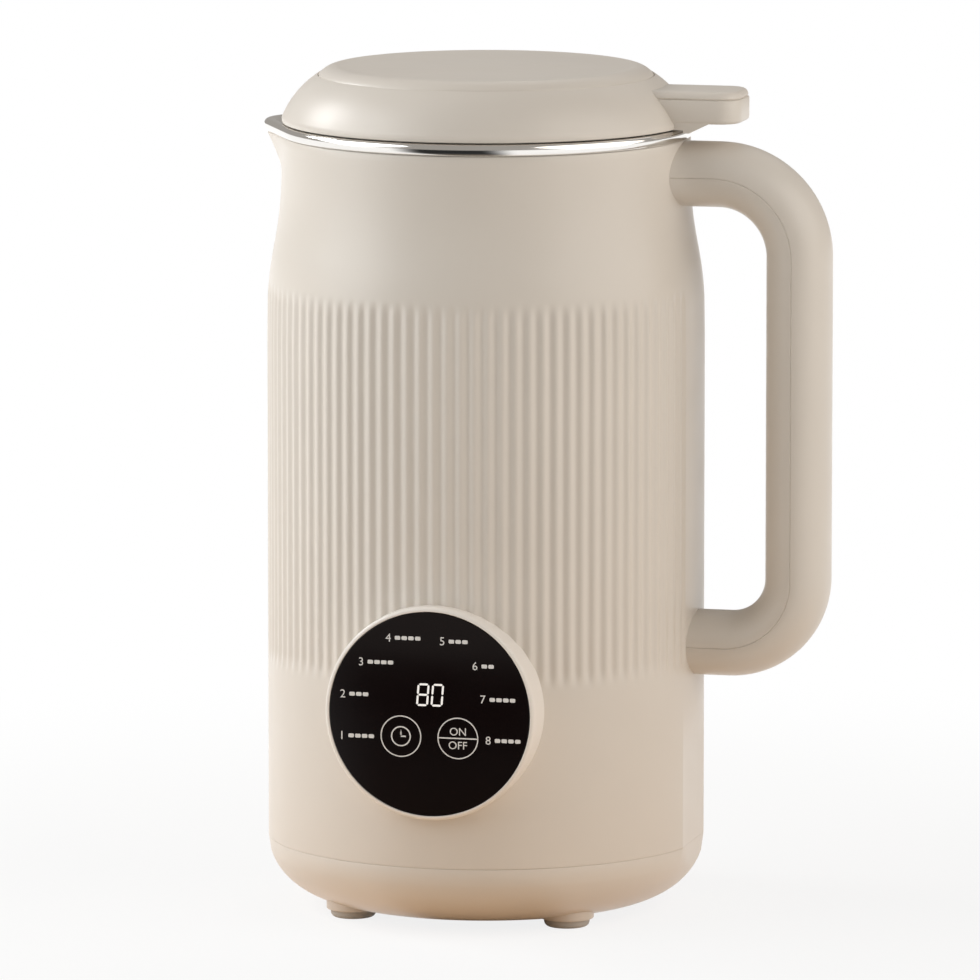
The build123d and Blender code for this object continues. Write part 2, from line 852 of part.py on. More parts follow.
def make_brush_holders():
    half_width = brush_half_width + fit_gap
    centre_z = commutator_middle_z()
    half_height = brush_height / 2 + fit_gap
    start = commutator_radius + brush_holder_gap
    holder = block((start, start + brush_holder_length),
                   middle(2 * (half_width + brush_holder_wall)),
                   (centre_z - half_height - brush_holder_wall, upper_bracket_z))
    holder -= block((start - overrun, start + brush_holder_length - brush_holder_wall),
                    middle(2 * half_width), middle(2 * half_height, centre_z))
    return [holder, Rot(0, 0, 180) * holder]


def commutator_low_z():
    return stack_top_z + armature_winding_height + commutator_gap


def commutator_middle_z():
    return commutator_low_z() + commutator_height / 2


def make_carbon_brushes():
    face = commutator_radius + brush_track_gap
    brush = block((face - overrun, face + brush_length), middle(2 * brush_half_width),
                  middle(brush_height, commutator_middle_z()))
    brush -= disc(face, commutator_low_z() - overrun, commutator_low_z() + commutator_height
                  + overrun)
    return [brush, Rot(0, 0, 180) * brush]


def make_motor_shaft():
    return disc(shaft_radius, fan_low_z, blade_stack()["nut"][1])


def make_armature_core():
    core = ring(armature_radius, shaft_radius + grip_gap, stack_low_z, stack_top_z)
    slot = block((armature_radius - armature_slot_depth, armature_radius + overrun),
                 middle(armature_slot_width), (stack_low_z - overrun, stack_top_z + overrun))
    core -= polar(slot, even_angles(armature_slot_count))
    return core


def make_armature_windings():
    inner = shaft_radius + armature_slot_depth
    windings = ring(armature_winding_radius, inner, stack_low_z - armature_winding_height,
                    stack_low_z)
    windings += ring(armature_winding_radius, inner, stack_top_z,
                     stack_top_z + armature_winding_height)
    bar = block((armature_radius - armature_slot_depth + fit_gap, armature_winding_radius),
                middle(armature_slot_width - 2 * fit_gap), (stack_low_z, stack_top_z))
    windings += polar(bar, even_angles(armature_slot_count))
    return windings


def make_commutator():
    low = commutator_low_z()
    drum = ring(commutator_radius, shaft_radius + grip_gap, low, low + commutator_height)
    slot = block((commutator_radius - commutator_slot_depth, commutator_radius + overrun),
                 middle(commutator_slot_width), (low - overrun, low + commutator_height + overrun))
    drum -= polar(slot, even_angles(commutator_bar_count))
    return drum


def make_cooling_fan():
    fan = ring(fan_hub_radius, shaft_radius + grip_gap, fan_low_z, fan_top_z)
    fan += ring(fan_radius, fan_hub_radius - fan_blade_width, fan_top_z - fan_disc_height,
                fan_top_z)
    blade = block((fan_hub_radius - fan_blade_width, fan_radius), middle(fan_blade_width),
                  (fan_low_z, fan_top_z))
    fan += polar(blade, even_angles(fan_blade_count))
    return fan


def make_standoffs():
    return [disc(standoff_radius, upper_bracket_top_z, plate_low_z, *around(standoff_circle_radius,
                                                                            angle))
            for angle in standoff_angles]


def make_heating_plate():
    plate = ring(heating_plate_radius, heating_plate_bore, plate_low_z, floor_under_z)
    groove = heater_ring(heater_tube_radius + fit_gap, heater_open_angle - heater_end_angle)
    plate -= groove
    plate -= disc(probe_radius + fit_gap, plate_low_z - overrun, floor_under_z + overrun,
                  probe_circle_radius)
    return plate


def heater_ring(radius, open_angle):
    """Round tube bent about the axis, open towards -X, half sunk in the plate."""
    tube = Plane.XZ * Pos(heater_circle_radius, plate_low_z) * Circle(radius)
    start = 180 + open_angle / 2
    return Rot(0, 0, start) * revolve(tube, Axis.Z, revolution_arc=360 - open_angle)


def make_heater_element():
    element = heater_ring(heater_tube_radius, heater_open_angle)
    for side in (-1, 1):
        angle = 180 + side * heater_open_angle / 2
        x, y = around(heater_circle_radius, angle)
        element += Pos(x, y, plate_low_z) * Sphere(heater_tube_radius)
        element += disc(heater_tube_radius, plate_low_z - heater_leg_length, plate_low_z, x, y)
        element += block(middle(heater_terminal_width, x), middle(heater_terminal_thickness, y),
                         (plate_low_z - heater_leg_length - heater_terminal_length, plate_low_z))
    return element


def make_thermal_cutout():
    low = plate_low_z - cutout_height
    cutout = disc(cutout_radius, low, plate_low_z, -heater_circle_radius)
    for side in (-1, 1):
        cutout += block(middle(cutout_tab_thickness, -heater_circle_radius
                               + side * cutout_tab_offset), middle(cutout_tab_width),
                        (low - cutout_tab_length, low))
    return cutout


def make_temperature_sensor():
    sensor = disc(probe_radius, plate_low_z - probe_drop, floor_z + probe_rise,
                  probe_circle_radius)
    sensor = fillet(sensor.edges().group_by(Axis.Z)[-1], probe_radius / 2)
    sensor += disc(probe_flange_radius, floor_z, floor_z + probe_flange_height,
                   probe_circle_radius)
    return sensor


def make_overflow_probe():
    level = shell_top_z - overflow_pin_drop
    pin = along_x(overflow_pin_radius, cup_radius - overflow_pin_reach, cup_outer_radius, level)
    face = math.sqrt(cup_radius ** 2 - overflow_flange_radius ** 2)
    pin += along_x(overflow_flange_radius, face - overflow_flange_height, face, level)
    return pin


def make_seal_housing():
    top = floor_z + seal_flange_height + seal_neck_height
    housing = disc(seal_flange_radius, floor_z, floor_z + seal_flange_height)
    housing += disc(seal_neck_radius, floor_z, top)
    housing += disc(seal_thread_radius, floor_z - seal_thread_length, floor_z)
    housing -= disc(shaft_radius + seal_bore_gap, floor_z - seal_thread_length - overrun,
                    top + overrun)
    housing -= disc(seal_ring_radius, top - seal_ring_height - fit_gap, top + overrun)
    return housing


def make_shaft_seal():
    top = floor_z + seal_flange_height + seal_neck_height
    return ring(seal_ring_radius - grip_gap, shaft_radius + run_gap, top - seal_ring_height, top)


def make_seal_nut():
    return hexagon(seal_nut_across, floor_under_z - seal_nut_height, floor_under_z,
                   seal_thread_radius + fit_gap)


def blade_stack():
    """Low and high level of each piece clamped on the shaft's end."""
    low = floor_z + seal_flange_height + seal_neck_height + spacer_lift
    stack = {}
    for name, height in (("spacer", spacer_height), ("lower", blade_thickness),
                         ("washer", washer_height), ("upper", blade_thickness),
                         ("nut", blade_nut_height)):
        stack[name] = (low, low + height)
        low += height
    return stack


def blade_arm(start, reach, low):
    """Tapered arm along +X."""
    outline = Polyline((start, -blade_root_width / 2), (reach, -blade_tip_width / 2),
                       (reach, blade_tip_width / 2), (start, blade_root_width / 2), close=True)
    return Pos(0, 0, low) * extrude(make_face(outline), blade_thickness)


def make_lower_blade():
    low = blade_stack()["lower"][0]
    blade = disc(blade_hub_radius, low, low + blade_thickness)
    blade += polar(blade_arm(0, blade_reach, low), (0, 180))
    return blade - disc(shaft_radius + grip_gap, low - overrun, low + blade_thickness + overrun)


def make_upper_blade():
    low, high = blade_stack()["upper"]
    blade = disc(blade_hub_radius, low, high)
    flat = blade_arm(0, blade_reach, low) & block((0, blade_bend_start),
                                                 middle(blade_root_width), (low, high))
    hinge = Pos(blade_bend_start, 0, low) * Rot(0, -blade_bend_angle, 0)
    tip = hinge * Pos(-blade_bend_start, 0, -low) * (
        blade_arm(0, blade_reach, low) & block((blade_bend_start, blade_reach),
                                               middle(blade_root_width), (low, high)))
    blade += polar(flat + tip, (90, 270))
    return blade - disc(shaft_radius + grip_gap, low - overrun, high + overrun)


def make_blade_nut():
    low, high = blade_stack()["nut"]
    nut = hexagon(blade_nut_across, low, high, shaft_radius + grip_gap)
    cap = disc(blade_nut_across / 2, high, high + blade_nut_dome)
    return nut + fillet(cap.edges().group_by(Axis.Z)[-1], blade_nut_dome / 2)


def make_blade_spacer():
    low, high = blade_stack()["spacer"]
    return ring(spacer_radius, shaft_radius + grip_gap, low, high)


def make_blade_washer():
    low, high = blade_stack()["washer"]
    return ring(blade_hub_radius, shaft_radius + grip_gap, low, high)


def panel_depths():
    """Distances along -Y of the glass's faces and the board's faces."""
    glass_front = -panel_reach + glass_sink
    glass_back = glass_front + glass_thickness
    board_front = glass_back + land_depth
    return glass_front, glass_back, board_front, board_front + board_thickness


def make_panel_bezel():
    front = -panel_reach
    back = bezel_seat_depth - body_radius
    glass_back, board_front, board_back = panel_depths()[1:]
    bezel = along_y(bezel_radius, front, back, 0, panel_z)
    bezel = fillet(bezel.edges().group_by(Axis.Y)[0], bezel_round)
    bezel -= along_y(glass_radius + fit_gap, front - overrun, glass_back, 0, panel_z)
    bezel -= along_y(land_bore, front, back + overrun, 0, panel_z)
    bezel -= along_y(bezel_bore, board_front, back + overrun, 0, panel_z)
    catch = sector(bezel_bore + fit_gap, bezel_bore - catch_height, -catch_angle, catch_angle,
                   0, catch_depth)
    seat = Pos(0, board_back + catch_depth, panel_z) * Rot(90, 0, 0)
    bezel += [seat * one for one in polar(catch, even_angles(catch_count))]
    return bezel


def make_panel_glass():
    front, back = panel_depths()[:2]
    return along_y(glass_radius, front, back, 0, panel_z)


def make_control_board():
    front, back = panel_depths()[2:]
    board = along_y(bezel_bore - fit_gap, front, back, 0, panel_z)
    plug = block(middle(board_plug_width), (back, back + board_plug_depth),
                 middle(board_plug_height, panel_z))
    return board + plug


def make_touch_springs():
    places = [around(touch_ring_radius, angle) for angle in touch_ring_angles]
    places += [(side * touch_pair_offset, -touch_pair_drop) for side in (-1, 1)]
    glass_back, board_front = panel_depths()[1:3]
    inner = touch_spring_radius - touch_spring_wall
    springs = []
    for x, z in places:
        spring = along_y(touch_spring_radius, glass_back, board_front, x, panel_z + z)
        springs.append(spring - along_y(inner, glass_back - overrun, board_front + overrun, x,
                                        panel_z + z))
    return springs


def make_readout_module():
    glass_back, board_front = panel_depths()[1:3]
    return block(middle(readout_width), (glass_back, board_front),
                 middle(readout_height, panel_z + readout_rise))


def power_board_low_z():
    return base_floor_z + board_slot_rise - board_slot_depth


def make_power_board():
    outer, inner = board_faces()
    low = power_board_low_z()
    return block((-outer, -inner), middle(power_board_width), (low, low + power_board_height))


def on_power_board(size, side, share):
    """Box standing on the power board's inner face."""
    inner = board_faces()[1]
    level = power_board_low_z() + power_board_height * share
    return block((-inner, size[0] - inner), middle(size[1], side), middle(size[2], level))


def make_board_relay():
    return on_power_board(relay_size, power_board_width * side_share, relay_share)


def make_board_transformer():
    return on_power_board(transformer_size, 0, transformer_share)


def make_board_capacitor():
    inner = board_faces()[1]
    level = power_board_low_z() + power_board_height * capacitor_share
    return along_x(capacitor_radius, -inner, capacitor_length - inner, level,
                   -power_board_width * side_share)


def inlet_levels():
    """Distances along +Y of the inlet's outer face, flat, cavity floor and back."""
    front = flat_distance + inlet_flange_depth
    return front, flat_distance, front - inlet_cavity_depth, front - inlet_body_depth


def make_inlet_housing():
    front, face, cavity_floor, back = inlet_levels()
    flange = block(middle(inlet_flange_width), (face, front),
                   middle(inlet_flange_height, inlet_z))
    flange = fillet(flange.edges().filter_by(Axis.Y), inlet_flange_round)
    housing = flange + block(middle(inlet_body_width), (back, face + fit_gap),
                             middle(inlet_body_height, inlet_z))
    cavity = block(middle(inlet_cavity_width), (cavity_floor, front + overrun),
                   middle(inlet_cavity_height, inlet_z))
    corners = cavity.edges().filter_by(Axis.Y).group_by(Axis.X)[-1]
    housing -= chamfer(corners, inlet_cavity_chamfer)
    return housing - inlet_pin_set(back - overrun, grip_gap)


def inlet_pin_set(low, gap):
    """Three flat pins in the socket: two one above the other and the earth pin beside them."""
    high = inlet_levels()[2] + pin_length
    pins = []
    for x, z in ((-pin_offset, pin_spread), (-pin_offset, -pin_spread), (pin_offset, 0)):
        pins.append(block(middle(pin_width + 2 * gap, x), (low, high),
                          middle(pin_thickness + 2 * gap, inlet_z + z)))
    return pins


def make_inlet_pins():
    return inlet_pin_set(inlet_levels()[3] - pin_tail, 0)


def handle_path():
    """Middle line of the handle, from the upper root round to the lower root."""
    return FilletPolyline((handle_root_reach, 0, upper_arm_z), (handle_reach, 0, upper_arm_z),
                          (handle_reach, 0, lower_arm_z), (handle_root_reach, 0, lower_arm_z),
                          radius=(handle_upper_bend_radius, handle_lower_bend_radius))


def handle_oval(inset):
    return Ellipse(handle_width / 2 - inset, handle_thickness / 2 - inset)


def handle_half(side, gap):
    """One half of the hollow oval, swept along the path and ended at the shell's skin."""
    start = Plane(origin=(handle_root_reach, 0, upper_arm_z), x_dir=(0, 1, 0), z_dir=(1, 0, 0))
    share = Pos(0, side * (handle_thickness / 2 + gap)) * Rectangle(2 * handle_width,
                                                                    handle_thickness)
    section = (handle_oval(0) - handle_oval(handle_wall)) & share
    return sweep(start * section, handle_path()) - body_form(-fit_gap)


def handle_plug(level, side):
    """Solid end of the handle that takes the screws; one half of it is a loose fit."""
    plane = Plane(origin=(handle_root_reach, 0, level), x_dir=(0, 1, 0), z_dir=(1, 0, 0))
    near = Pos(0, side * handle_thickness / 2) * Rectangle(2 * handle_width, handle_thickness)
    far = Pos(0, -side * handle_thickness / 2) * Rectangle(2 * handle_width, handle_thickness)
    section = (handle_oval(handle_wall - fit_gap) & near) + (handle_oval(handle_wall + fit_gap)
                                                             & far)
    return extrude(plane * section, plug_reach - handle_root_reach) - body_form(-fit_gap)


def make_handle_outer_half():
    half = handle_half(1, 0)
    half += handle_plug(upper_arm_z, 1)
    half += handle_plug(lower_arm_z, -1)
    for level, side, seat in handle_screw_places():
        half -= along_x(handle_screw_radius + grip_gap, seat, seat + handle_screw_length + fit_gap,
                        level, side)
    pocket = block((reed_reach - reed_length / 2 - fit_gap, plug_reach + overrun),
                   middle(reed_width + 2 * fit_gap),
                   (upper_arm_z + reed_lift - reed_height - fit_gap,
                    upper_arm_z + reed_lift + fit_gap))
    return half - pocket


def make_handle_inner_half():
    return handle_half(-1, handle_seam_gap)


def make_handle_screws():
    screws = []
    for level, side, seat in handle_screw_places():
        screw = along_x(handle_screw_radius, seat, seat + handle_screw_length, level, side)
        screw += along_x(handle_screw_head_radius, seat - handle_screw_head_height, seat, level,
                         side)
        screws.append(screw)
    return screws


def make_reed_sensor():
    return block(middle(reed_length, reed_reach), middle(reed_width),
                 (upper_arm_z + reed_lift - reed_height, upper_arm_z + reed_lift))


def bulged(start, end, bulge):
    """Arc between two (radius, height) corners, bowed out to the right of their line."""
    run = end[0] - start[0]
    climb = end[1] - start[1]
    length = math.hypot(run, climb)
    centre = ((start[0] + end[0]) / 2 + bulge * abs(climb) / length,
              (start[1] + end[1]) / 2 + bulge * abs(run) / length)
    return ThreePointArc((start[0], 0, start[1]), (centre[0], 0, centre[1]), (end[0], 0, end[1]))


def turned_hood(low, corner, shoulder, top, bulge):
    """Skirt up to a shoulder, then a bowed slope in to the top."""
    edges = [
        Line((0, 0, low), (corner, 0, low)),
        Line((corner, 0, low), (corner, 0, shoulder)),
        bulged((corner, shoulder), top, bulge),
        Line((top[0], 0, top[1]), (0, 0, top[1])),
        Line((0, 0, top[1]), (0, 0, low)),
    ]
    return turned(edges)


def lid_form(grow):
    """Solid under the lid's outer skin, up to the cap's seam."""
    return turned_hood(lid_low_z, lid_radius + grow, lid_low_z + lid_skirt_height,
                       (lid_seam_radius + grow, lid_seam_z), lid_shoulder_bulge)


def tab_outline(inset):
    """Outline of the thumb tab seen from above, from inside the lid to its rounded end."""
    start = lid_seam_radius
    length = tab_reach - inset - start
    outline = Pos(start + length / 2, 0) * Rectangle(length, tab_width - 2 * inset)
    return fillet(outline.vertices().group_by(Axis.X)[-1], tab_corner_radius - inset)


def make_lid_shell():
    tab = Pos(0, 0, tab_split_z) * extrude(tab_outline(tab_top_inset), tab_top_thickness)
    tab = fillet(tab.edges().group_by(Axis.Z)[-1], tab_top_round)
    shell = lid_form(0) + tab
    seat_z = lid_seam_z - cap_seat_drop
    bore = lid_seam_radius - cap_seat_width
    under = seat_z - cap_seat_wall
    shell -= turned_hood(lid_low_z - overrun, lid_radius - lid_wall, lid_low_z + lid_skirt_height,
                         (bore, under), lid_inner_bulge)
    shell -= disc(bore, under - overrun, lid_seam_z + overrun)
    shell -= disc(lid_seam_radius, seat_z, lid_seam_z + overrun)
    for x, y in lid_post_places():
        shell += disc(lid_post_radius, plate_floor_top_z(), under, x, y)
        shell -= disc(lid_screw_radius + grip_gap, plate_floor_top_z() - overrun,
                      plate_low_level() + lid_screw_length + fit_gap, x, y)
    return shell


def lid_post_places():
    return [around(lid_post_circle_radius, angle) for angle in lid_post_angles]


def plate_low_level():
    return lid_low_z - plate_drop


def plate_floor_top_z():
    return plate_low_level() + plate_wall


def make_lid_top_cap():
    radius = lid_seam_radius - fit_gap
    low = lid_seam_z - cap_seat_drop
    side_z = low + cap_side_height
    edge_z = side_z + cap_edge_height
    crown_z = edge_z + cap_crown
    inner = radius - cap_edge_width
    edges = [
        Line((0, 0, low), (radius, 0, low)),
        Line((radius, 0, low), (radius, 0, side_z)),
        bulged((radius, side_z), (inner, edge_z), cap_edge_bulge),
        TangentArc((0, 0, crown_z), (inner, 0, edge_z), tangent=(1, 0, 0)),
        Line((0, 0, crown_z), (0, 0, low)),
    ]
    return turned(edges) - disc(radius - cap_hollow_inset, low - overrun, low + cap_hollow)


def make_lid_inner_plate():
    low = plate_low_level()
    flange_top = lid_low_z + plate_flange_thickness
    inner = plate_radius - plate_wall
    flange_radius = lid_radius - lid_wall - fit_gap
    plate = turned_polygon([(0, low), (plate_radius, low), (plate_radius, lid_low_z),
                            (flange_radius, lid_low_z), (flange_radius, flange_top),
                            (inner, flange_top), (inner, plate_floor_top_z()),
                            (0, plate_floor_top_z())])
    groove_low = low + seal_groove_rise
    plate -= ring(plate_radius + overrun, plate_radius - seal_groove, groove_low,
                  groove_low + seal_height)
    for x, y in lid_post_places():
        plate -= disc(lid_screw_radius + fit_gap, low - overrun, low + plate_wall + overrun, x, y)
    return plate


def make_lid_seal():
    low = plate_low_level() + seal_groove_rise
    outer = cup_radius - lid_gap
    seal = ring(outer - seal_bead, plate_radius - seal_groove, low, low + seal_height)
    bead_low, bead_high = middle(seal_bead_height, low + seal_height / 2)
    return seal + ring(outer, plate_radius - seal_groove, bead_low, bead_high)


def make_lid_tab_base():
    low = tab_split_z - tab_base_thickness
    tab = Pos(0, 0, low) * extrude(tab_outline(0), tab_base_thickness)
    near = rim_radius + gusset_wall_gap
    gusset_low = lid_low_z - gusset_drop
    inside = lid_radius - overrun
    points = [(near, 0, gusset_low), (gusset_low_reach, 0, gusset_low), (gusset_top_reach, 0, low),
              (gusset_top_reach, 0, low + overrun), (inside, 0, low + overrun),
              (inside, 0, lid_low_z), (near, 0, lid_low_z)]
    gusset = extrude(make_face(Polyline(*points, close=True)), tab_width / 2 - tab_top_inset,
                     both=True)
    tab += gusset
    tab -= lid_form(fit_gap)
    return tab - disc(magnet_radius + grip_gap, tab_split_z - magnet_height,
                      tab_split_z + overrun, magnet_reach)


def make_lid_magnet():
    return disc(magnet_radius, tab_split_z - magnet_height, tab_split_z, magnet_reach)


def make_lid_screws():
    seat = plate_low_level()
    screws = []
    for x, y in lid_post_places():
        screw = disc(lid_screw_head_radius, seat - lid_screw_head_height, seat, x, y)
        screws.append(screw + disc(lid_screw_radius, seat, seat + lid_screw_length, x, y))
    return screws


nodes = {
    "outer_shell": make_outer_shell,
    "inner_cup": make_inner_cup,
    "base_cover": make_base_cover,
    "base_screws": make_base_screws,
    "handle_outer_half": make_handle_outer_half,
    "handle_inner_half": make_handle_inner_half,
    "handle_screws": make_handle_screws,
    "reed_sensor": make_reed_sensor,
    "panel_bezel": make_panel_bezel,
    "panel_glass": make_panel_glass,
    "control_board": make_control_board,
    "readout_module": make_readout_module,
    "touch_springs": make_touch_springs,
    "power_board": make_power_board,
    "board_relay": make_board_relay,
    "board_transformer": make_board_transformer,
    "board_capacitor": make_board_capacitor,
    "inlet_housing": make_inlet_housing,
    "inlet_pins": make_inlet_pins,
    "heating_plate": make_heating_plate,
    "heating_element": make_heater_element,
    "thermal_cutout": make_thermal_cutout,
    "temperature_sensor": make_temperature_sensor,
    "overflow_probe": make_overflow_probe,
    "seal_housing": make_seal_housing,
    "shaft_seal": make_shaft_seal,
    "seal_nut": make_seal_nut,
    "standoffs": make_standoffs,
    "upper_bracket": make_upper_bracket,
    "lower_bracket": make_lower_bracket,
    "stator_core": make_stator_core,
    "stator_windings": make_stator_windings,
    "upper_bearing": lambda: make_bearing(upper_seat_z),
    "lower_bearing": lambda: make_bearing(lower_seat_z),
    "brush_holders": make_brush_holders,
    "carbon_brushes": make_carbon_brushes,
    "motor_screws": make_motor_screws,
    "motor_shaft": make_motor_shaft,
    "armature_core": make_armature_core,
    "armature_windings": make_armature_windings,
    "commutator": make_commutator,
    "cooling_fan": make_cooling_fan,
    "blade_spacer": make_blade_spacer,
    "lower_blade": make_lower_blade,
    "blade_washer": make_blade_washer,
    "upper_blade": make_upper_blade,
    "blade_nut": make_blade_nut,
    "lid_shell": make_lid_shell,
    "lid_top_cap": make_lid_top_cap,
    "lid_inner_plate": make_lid_inner_plate,
    "lid_seal": make_lid_seal,
    "lid_tab_base": make_lid_tab_base,
    "lid_magnet": make_lid_magnet,
    "lid_screws": make_lid_screws,
}

os.makedirs("parts", exist_ok=True)
shift = Pos(-centre_x, -centre_y, 0)
shapes = {name: make() for name, make in nodes.items()}
for name, place in on_diagonals(foot_circle_radius).items():
    shapes["foot_" + name] = make_foot(*place)
for name, shape in shapes.items():
    pieces = shape if isinstance(shape, list) else [shape]
    solids = [solid for piece in pieces for solid in (shift * piece).solids()]
    export_step(solids[0] if len(solids) == 1 else Compound(solids), "parts/" + name + ".step")
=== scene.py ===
"""Nut milk maker: a heated blender jug with a side handle, a lift-off lid and a round touch panel.

Sizes are in millimetres about the jug's upright axis, and set_in_frame() makes them metres."""
import math

import bpy
import numpy as np
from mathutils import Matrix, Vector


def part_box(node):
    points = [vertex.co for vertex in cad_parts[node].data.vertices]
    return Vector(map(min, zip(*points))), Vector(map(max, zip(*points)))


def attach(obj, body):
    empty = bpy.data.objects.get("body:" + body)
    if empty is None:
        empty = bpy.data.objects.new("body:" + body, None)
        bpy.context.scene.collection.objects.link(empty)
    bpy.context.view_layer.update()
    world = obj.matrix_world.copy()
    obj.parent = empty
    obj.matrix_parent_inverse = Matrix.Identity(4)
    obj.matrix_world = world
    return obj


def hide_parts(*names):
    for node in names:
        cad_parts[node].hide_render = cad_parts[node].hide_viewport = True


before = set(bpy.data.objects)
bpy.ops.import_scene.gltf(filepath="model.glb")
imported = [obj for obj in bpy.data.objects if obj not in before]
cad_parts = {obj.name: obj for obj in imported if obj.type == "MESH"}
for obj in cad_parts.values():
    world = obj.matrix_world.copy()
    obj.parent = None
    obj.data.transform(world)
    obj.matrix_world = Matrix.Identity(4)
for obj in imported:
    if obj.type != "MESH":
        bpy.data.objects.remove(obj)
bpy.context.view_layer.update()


# Studio. A long lens stands a little above the jug, 14 degrees round from the panel towards the
# handle. The lamps are a soft cool one at the left, a small one for glints, a wide warm one at the
# right and a weak one behind. The pale floor sends up warm light, and reflections meet a dark card.
shaft_low, shaft_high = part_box("motor_shaft")
axis_x = (shaft_low.x + shaft_high.x) / 2
axis_y = (shaft_low.y + shaft_high.y) / 2
view_turn = math.radians(13.8)
view_climb = math.radians(8.2)
view_distance = 3.0
aim_height = 0.1196
aim_side = 0.0011
aim = np.array((axis_x + aim_side * math.cos(view_turn), axis_y + aim_side * math.sin(view_turn),
                aim_height))


def aimed(thing, turn, climb, distance):
    """Stands a lamp or camera at the distance from the aim, with its -Z looking at the aim.

    The way from the aim to it is, along X, Y and Z, the turn's sine and minus the turn's cosine,
    both times the climb's cosine, and the climb's sine. Its own X is upright cross that way."""
    away = np.array((math.sin(turn) * math.cos(climb), -math.cos(turn) * math.cos(climb),
                     math.sin(climb)))
    side = np.cross((0, 0, 1), away)
    side = side / np.linalg.norm(side)
    matrix = np.eye(4)
    matrix[:3, 0], matrix[:3, 1], matrix[:3, 2] = side, np.cross(away, side), away
    matrix[:3, 3] = aim + distance * away
    thing.matrix_world = [list(row) for row in matrix.T]
    bpy.context.scene.collection.objects.link(thing)


camera_data = bpy.data.cameras.new("camera")
camera_data.lens = 385
camera_data.sensor_width = 36
camera_data.clip_end = 50
camera = bpy.data.objects.new("camera", camera_data)
aimed(camera, view_turn, view_climb, view_distance)
bpy.context.scene.camera = camera

for name, turn, climb, distance, size, watts, tint in (
        ("key", -65, 26, 1.6, 1.7, 17.6, (0.95, 0.98, 1.0)),
        ("glint", -101, 33, 1.1, 0.38, 3.6, (0.98, 0.99, 1.0)),
        ("fill", 79, 25, 1.8, 2.3, 23.2, (1.0, 0.965, 0.92)),
        ("back", 170, 50, 1.8, 1.2, 2.0, (1.0, 0.98, 0.96))):
    lamp_data = bpy.data.lights.new(name, "AREA")
    lamp_data.shape = "DISK"
    lamp_data.size = size
    lamp_data.energy = watts
    lamp_data.color = tint
    aimed(bpy.data.objects.new(name, lamp_data), math.radians(turn), math.radians(climb), distance)

world = bpy.data.worlds.new("studio")
bpy.context.scene.world = world
world.use_nodes = True
sky = world.node_tree.nodes
plain_sky = sky["Background"]
plain_sky.inputs["Color"].default_value = (1.0, 0.97, 0.93, 1)
plain_sky.inputs["Strength"].default_value = 0.165
shiny_sky = sky.new("ShaderNodeBackground")
shiny_sky.inputs["Color"].default_value = (1.0, 0.95, 0.89, 1)
shiny_sky.inputs["Strength"].default_value = 0.40
seen_sky = sky.new("ShaderNodeBackground")
seen_sky.inputs["Strength"].default_value = 1.0
seen_path = sky.new("ShaderNodeLightPath")
shiny_mix = sky.new("ShaderNodeMixShader")
sky_mix = sky.new("ShaderNodeMixShader")
for a, b in ((seen_path.outputs["Is Glossy Ray"], shiny_mix.inputs[0]),
             (plain_sky.outputs[0], shiny_mix.inputs[1]),
             (shiny_sky.outputs[0], shiny_mix.inputs[2]),
             (seen_path.outputs["Is Camera Ray"], sky_mix.inputs[0]),
             (shiny_mix.outputs[0], sky_mix.inputs[1]),
             (seen_sky.outputs[0], sky_mix.inputs[2]),
             (sky_mix.outputs[0], sky["World Output"].inputs["Surface"])):
    world.node_tree.links.new(a, b)
bpy.context.scene.view_settings.view_transform = "Standard"

floor_reach = 4.0
floor_mesh = bpy.data.meshes.new("floor")
floor_mesh.from_pydata([(x * floor_reach, y * floor_reach, 0)
                        for x, y in ((-1, -1), (1, -1), (1, 1), (-1, 1))], [], [(0, 1, 2, 3)])
floor = bpy.data.objects.new("floor", floor_mesh)
bpy.context.scene.collection.objects.link(floor)
floor_paint = bpy.data.materials.new("floor_paint")
floor_paint.use_nodes = True
paint = floor_paint.node_tree.nodes
paint.clear()


def maths(nodes, operation, kind="ShaderNodeMath"):
    """New maths node, set to its operation."""
    node = nodes.new(kind)
    node.operation = operation
    return node


def mapped(nodes, start, end, at_start=0.0, at_end=1.0, way="SMOOTHSTEP"):
    """New node whose output goes from one value to the other as its input goes from start to
    end: three times the square less twice the cube of the share, or evenly if linear."""
    node = nodes.new("ShaderNodeMapRange")
    node.interpolation_type = way
    for label, value in (("From Min", start), ("From Max", end),
                         ("To Min", at_start), ("To Max", at_end)):
        node.inputs[label].default_value = value
    return node


# Near the jug the floor throws back a warmer tone than the one that is seen. To the camera and to
# shiny surfaces it glows, less so near the jug, where the diffuse share keeps the shadow, and for
# reflections the glow sinks to almost nothing over a card-shaped sector in front of the panel.
warm_near, warm_far = 0.09, 0.30
shadow_near, shadow_far = 0.14, 0.42
shadow_glow = 0.84
card_turn = math.radians(-6)
card_edge, card_full = math.cos(math.radians(36)), math.cos(math.radians(16))
open_glow, card_glow = 1.2, 0.03
path = paint.new("ShaderNodeLightPath")
place = paint.new("ShaderNodeTexCoord")
span = maths(paint, "LENGTH", "ShaderNodeVectorMath")
warm = mapped(paint, warm_near, warm_far)
tint_share = maths(paint, "MAXIMUM")
tint_mix = paint.new("ShaderNodeMix")
tint_mix.data_type = "RGBA"
tint_mix.inputs["A"].default_value = (0.87, 0.63, 0.42, 1)
tint_mix.inputs["B"].default_value = (0.86, 0.845, 0.82, 1)
lit = paint.new("ShaderNodeBsdfDiffuse")
outward = maths(paint, "NORMALIZE", "ShaderNodeVectorMath")
facing = maths(paint, "DOT_PRODUCT", "ShaderNodeVectorMath")
facing.inputs[1].default_value = (math.sin(card_turn), -math.cos(card_turn), 0)
card = mapped(paint, card_edge, card_full, open_glow, card_glow)
strength = paint.new("ShaderNodeMix")
strength.inputs["B"].default_value = 1.0
glow = paint.new("ShaderNodeEmission")
seen = maths(paint, "MAXIMUM")
